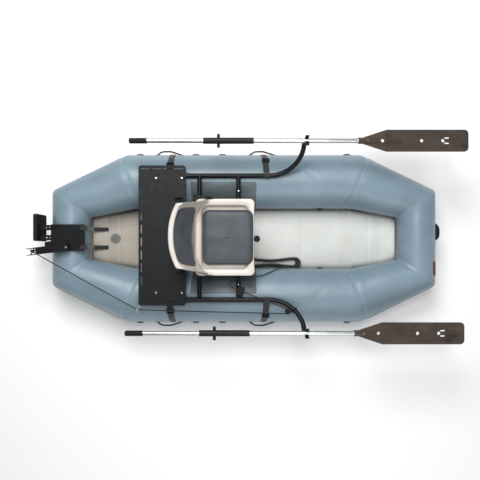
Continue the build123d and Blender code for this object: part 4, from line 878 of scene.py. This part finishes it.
def makeBackCushion():
    # crowned pad on the hollow of the back: front face bulges, edges curl down to the shell
    u = np.linspace(-1, 1, 73)[None, :]
    v = np.linspace(-1, 1, 49)[:, None]
    squareness = (np.abs(u) ** 5 + np.abs(v) ** 5) ** 0.2
    bulge = np.sqrt(np.clip(1 - np.clip(squareness, 0, 1) ** 4, 0, 1))
    rounding = np.maximum(np.abs(u), np.abs(v)) / np.maximum(squareness, 1e-6)
    across = u * rounding * back["padHalf"][0]
    share = back["padMiddle"] + v * rounding * back["padHalf"][1]
    pleat = 0.0016 * np.exp(-((squareness - 0.80) / 0.03) ** 2)
    wave = 0.0012 * np.sin(u * 7) * np.sin(v * 5 + 1)
    front = backPlace(across, share, back["wall"] + 0.004 + back["padCrown"] * bulge - pleat + wave * bulge)
    rear = backPlace(across, share, np.full_like(bulge, back["wall"] + 0.0012))
    rows, columns = front.shape[:2]
    total = rows * columns
    points = np.concatenate([front.reshape(-1, 3), rear.reshape(-1, 3)])
    faces = gridFaces(rows, columns)
    faces += [[total + v for v in face[::-1]] for face in faces]
    rim = rimOf(rows, columns)
    faces += [[total + b, total + a, a, b] for a, b in zip(rim, rim[1:] + rim[:1])]
    uv = np.concatenate([gridLengths(front).reshape(-1, 2)] * 2)
    piece = meshFromArrays("seatBackCushion", points, faces, finishes["seatVinyl"], uv)
    place(piece, "seat_vinyl", "seat_back_cushion", body="seat_back")


makeSeatPan()
makeSeatCushion()
makeBackShell()
makeBackCushion()
print("seat")

straps = {
    "width": 0.038, "thick": 0.0018, "lift": 0.0036, "railY": 0.395, "railRadius": 0.015, "railZ": 0.3709,
    # middle along the boat, and how far the rail end leads the low end
    "stations": ((-0.474, -0.014), (0.140, 0.022)),
}


def ribbon(name, path, sideways, width, thick, material, skew):
    # flat strap along a path of points; skew slides it sideways evenly from one end to the other
    path = np.asarray(path, dtype=float)
    along = np.gradient(path, axis=0)
    along /= np.linalg.norm(along, axis=1, keepdims=True)
    side = np.asarray(sideways, dtype=float)
    outward = np.cross(side, along)
    share = np.linspace(-0.5, 0.5, len(path))[:, None]
    centre = path + share * skew * side
    across = np.array([-1, -0.92, -0.5, 0, 0.5, 0.92, 1]) * width / 2
    swell = np.array([0.15, 0.9, 1, 1, 1, 0.9, 0.15]) * thick / 2
    top = centre[:, None] + across[None, :, None] * side + swell[None, :, None] * outward[:, None]
    low = centre[:, None] + across[None, ::-1, None] * side - swell[None, ::-1, None] * outward[:, None]
    return closedSweep(name, np.concatenate([top, low], axis=1), material)


def makeFrameStraps():
    # up the side tube's outside along an arc, straight to the rail, and over it
    reach = hull["sideRadius"] + straps["lift"]
    wrap = straps["railRadius"] + straps["thick"]
    turn = np.radians(np.linspace(14, 64, 40))
    bend = np.radians(np.linspace(0, 200, 26))
    share = np.linspace(0, 1, 12)[1:-1, None]
    runs = [(*station, side) for station in straps["stations"] for side in (1, -1)]
    for number, (station, lead, side) in enumerate(runs):
        arc = np.column_stack([np.full(len(turn), station), hull["sideCorner"][1] + reach * np.cos(turn),
                               hull["sideRadius"] + reach * np.sin(turn)])
        over = np.column_stack([np.full(len(bend), station), straps["railY"] + wrap * np.cos(bend),
                                straps["railZ"] + wrap * np.sin(bend)])
        path = np.concatenate([arc, arc[-1] * (1 - share) + over[0] * share, over])
        path[:, 1] *= side
        piece = ribbon(f"frameStrap{number}", path, (1, 0, 0), straps["width"], straps["thick"],
                       finishes["webbing"], lead)
        place(piece, "black_webbing", *(["frame_straps"] if number == 0 else []))


makeFrameStraps()
print("straps")

line = {
    "radius": 0.0035,
    "turns": 6, "perTurn": 32, "endShare": 0.12, "row": 0.0078, "lane": 0.0080, "outer": 0.0385,
    "middle": (0.176, -0.1635), "half": 0.160, "waist": 0.016, "base": 0.1142,
}
linePoints = [
    (-1.3539, -0.0800, 0.300),
    (-1.3539, -0.0800, 0.360),
    (-1.3539, -0.0800, 0.398),
    (-1.3300, -0.0933, 0.400),
    (-0.6900, -0.4497, 0.392),
    (-0.6600, -0.4584, 0.392),
    (0.2600, -0.4811, 0.392),
    (0.2885, -0.4830, 0.392),
    (0.2950, -0.4585, 0.392),
    (0.2680, -0.4485, 0.392),
    (-0.0580, -0.3240, 0.397),
    (-0.0900, -0.3020, 0.397),
    (-0.0900, -0.2680, 0.398),
    (-0.0520, -0.2560, 0.400),
    (-0.0080, -0.2620, 0.396),
    (0.0380, -0.2540, 0.372),
    (0.0840, -0.2470, 0.338),
    (0.1300, -0.2380, 0.310),
    (0.1740, -0.2200, 0.282),
    (0.2150, -0.2020, 0.248),
    (0.2500, -0.1930, 0.208),
    (0.2820, -0.1930, 0.168),
    (0.3120, -0.1990, 0.140),
]


def hankPoints():
    # flat turns with straight sides and round ends, which spiral in and out, two to a layer,
    # so that no two runs touch: a point is its end's centre plus width * (cos phi, sin phi),
    # and the sides are drawn in towards the waist
    steps = np.arange(0, line["turns"] * line["perTurn"] + 1) / line["perTurn"]
    layer = np.floor(steps / 2)
    inLayer = steps / 2 - layer
    drop = np.clip((inLayer - 0.80) / 0.20, 0, 1)
    climb = np.minimum(layer + drop * drop * (3 - 2 * drop), line["turns"] / 2 - 1)
    lane = np.where(layer % 2 == 0, inLayer, 1 - inLayer) * 2
    width = line["outer"] - line["lane"] * lane
    share = line["endShare"]
    knots = [0, 2 * share, 0.5, 0.5 + 2 * share, 1]
    phi = np.radians(np.interp(steps % 1, knots, [-90, 90, 90, 270, 270]))
    centre = line["half"] * np.interp(steps % 1, knots, [1, 1, -1, -1, 1])
    x = centre + width * np.cos(phi)
    waist = line["waist"] * np.clip(1 - (x / (line["half"] + width)) ** 2, 0, 1) ** 2
    y = np.sin(phi) * (width - waist)
    z = line["base"] + line["row"] * (line["turns"] / 2 - 1 - climb)
    shift = 0.010 * np.cos(climb * 2.1)
    return np.column_stack([line["middle"][0] + shift + x, line["middle"][1] + y, z])


def makeRope():
    # one open spline through the line's own points and then the bundle's turns
    points = np.concatenate([linePoints, hankPoints()])
    curve = bpy.data.curves.new("anchorLine", "CURVE")
    curve.dimensions = "3D"
    spline = curve.splines.new("NURBS")
    spline.points.add(len(points) - 1)
    places = np.column_stack([points, np.ones(len(points))])
    spline.points.foreach_set("co", places.astype(np.float32).ravel())
    spline.points.foreach_set("radius", np.full(len(points), line["radius"], dtype=np.float32))
    spline.order_u = 3
    spline.use_endpoint_u = True
    curve.resolution_u = 8
    curve.bevel_depth = 1.0      # the points' own radius is the cord's
    curve.bevel_resolution = 3
    curve.use_fill_caps = True
    curve.materials.append(finishes["rope"])
    rope = bpy.data.objects.new("anchorLine", curve)
    bpy.context.scene.collection.objects.link(rope)
    return rope


rope = makeRope()
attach(rope, "boat")
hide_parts("anchor_rope", "rope_hank")


def curveLength(item):
    # length of the spline itself, read from its own line
    depth, item.data.bevel_depth = item.data.bevel_depth, 0.0
    bpy.context.view_layer.update()
    mesh = bpy.data.meshes.new_from_object(item.evaluated_get(bpy.context.evaluated_depsgraph_get()))
    item.data.bevel_depth = depth
    spots = np.empty(len(mesh.vertices) * 3)
    mesh.vertices.foreach_get("co", spots)
    bpy.data.meshes.remove(mesh)
    bpy.context.view_layer.update()
    return float(np.linalg.norm(np.diff(spots.reshape(-1, 3), axis=0), axis=1).sum())


ropeLength = curveLength(rope)
print("anchor line", round(ropeLength, 3), "m")

nodeFinish = {
    "powderBlack": ["anchor_arm", "cleat_base", "cross_bar_front", "cross_bar_mid", "deck_bars",
                    "oarlock_port", "oarlock_starboard", "seat_hinge_arms", "seat_hinge_plates",
                    "seat_mount", "side_rail_port", "side_rail_starboard", "turning_block",
                    "motor_platform"],
    "deckBlack": ["deck_tray"],
    "blackPlastic": ["air_valves", "anchor_sheave", "cleat_cam_inner", "cleat_cam_outer", "floor_valve_cap",
                     "frame_plastics", "motor_board", "oar_sleeve_port", "oar_sleeve_starboard",
                     "oarlock_bushings", "strap_buckles", "tube_valve_cap_port",
                     "tube_valve_cap_starboard", "turning_sheave"],
    "greyPlastic": ["drain_valve"],
    "blackRubber": ["grab_handles", "tie_down_loops", "oar_grip_port", "oar_grip_starboard"],
    "webbing": ["motor_straps"],
    "hullFabric": ["chamber_baffles"],
    "aluminium": ["oar_shaft_port", "oar_shaft_starboard"],
    "stainless": ["anchor_ring", "fairlead_ring", "fasteners", "snap_button_port", "snap_button_starboard"],
    "blade": ["oar_blade_port", "oar_blade_starboard"],
}
for finish, names in nodeFinish.items():
    for nodeName in names:
        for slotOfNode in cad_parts[nodeName].material_slots:
            slotOfNode.material = finishes[finish]
print("finishes on", sum(len(v) for v in nodeFinish.values()), "parts")

room = {
    "floorHalf": 14.0, "paper": (0.93, 0.93, 0.93, 1), "paperRoughness": 0.9, "sky": 0.30,
    "aim": (0, 0, 0.2),
    "lamps": {                 # place, width of the disc, power in watts
        "keyLight": ((-0.6, 2.6, 4.2), 2.2, 170),
        "fillLight": ((0.8, -3.4, 3.6), 3.0, 66),
        "topLight": ((0.1, 1.2, 6.0), 1.6, 96),
    },
}
view = {"lens": 42.76, "sensor": 36, "shiftY": 0.028, "place": (-0.026, -0.100, 4.0)}


def makeRoom():
    half = room["floorHalf"]
    paper = bpy.data.materials.new("pale paper floor")
    paper.use_nodes = True
    shader = paper.node_tree.nodes["Principled BSDF"]
    shader.inputs["Base Color"].default_value = room["paper"]
    shader.inputs["Roughness"].default_value = room["paperRoughness"]
    mesh = bpy.data.meshes.new("studioFloor")
    corners = [(-half, -half, 0), (half, -half, 0), (half, half, 0), (-half, half, 0)]
    mesh.from_pydata(corners, [], [(0, 1, 2, 3)])
    mesh.materials.append(paper)
    ground = bpy.data.objects.new("studioFloor", mesh)
    bpy.context.scene.collection.objects.link(ground)


def addLight(name, where, size, power):
    lamp = bpy.data.lights.new(name, "AREA")
    lamp.shape = "DISK"
    lamp.size = size
    lamp.energy = power
    item = bpy.data.objects.new(name, lamp)
    item.location = where
    item.rotation_euler = (Vector(room["aim"]) - Vector(where)).to_track_quat("-Z", "Y").to_euler()
    bpy.context.scene.collection.objects.link(item)


makeRoom()
for lampName, lampSettings in room["lamps"].items():
    addLight(lampName, *lampSettings)

world = bpy.data.worlds.new("studioWorld")
world.use_nodes = True
sky = world.node_tree.nodes["Background"]
sky.inputs["Color"].default_value = (1, 1, 1, 1)
sky.inputs["Strength"].default_value = room["sky"]
bpy.context.scene.world = world
bpy.context.scene.view_settings.view_transform = "Standard"

lens = bpy.data.cameras.new("camera")
lens.lens = view["lens"]
lens.sensor_width = view["sensor"]
lens.shift_y = view["shiftY"]
camera = bpy.data.objects.new("camera", lens)
camera.location = view["place"]
bpy.context.scene.collection.objects.link(camera)
bpy.context.scene.camera = camera
print("room and camera")
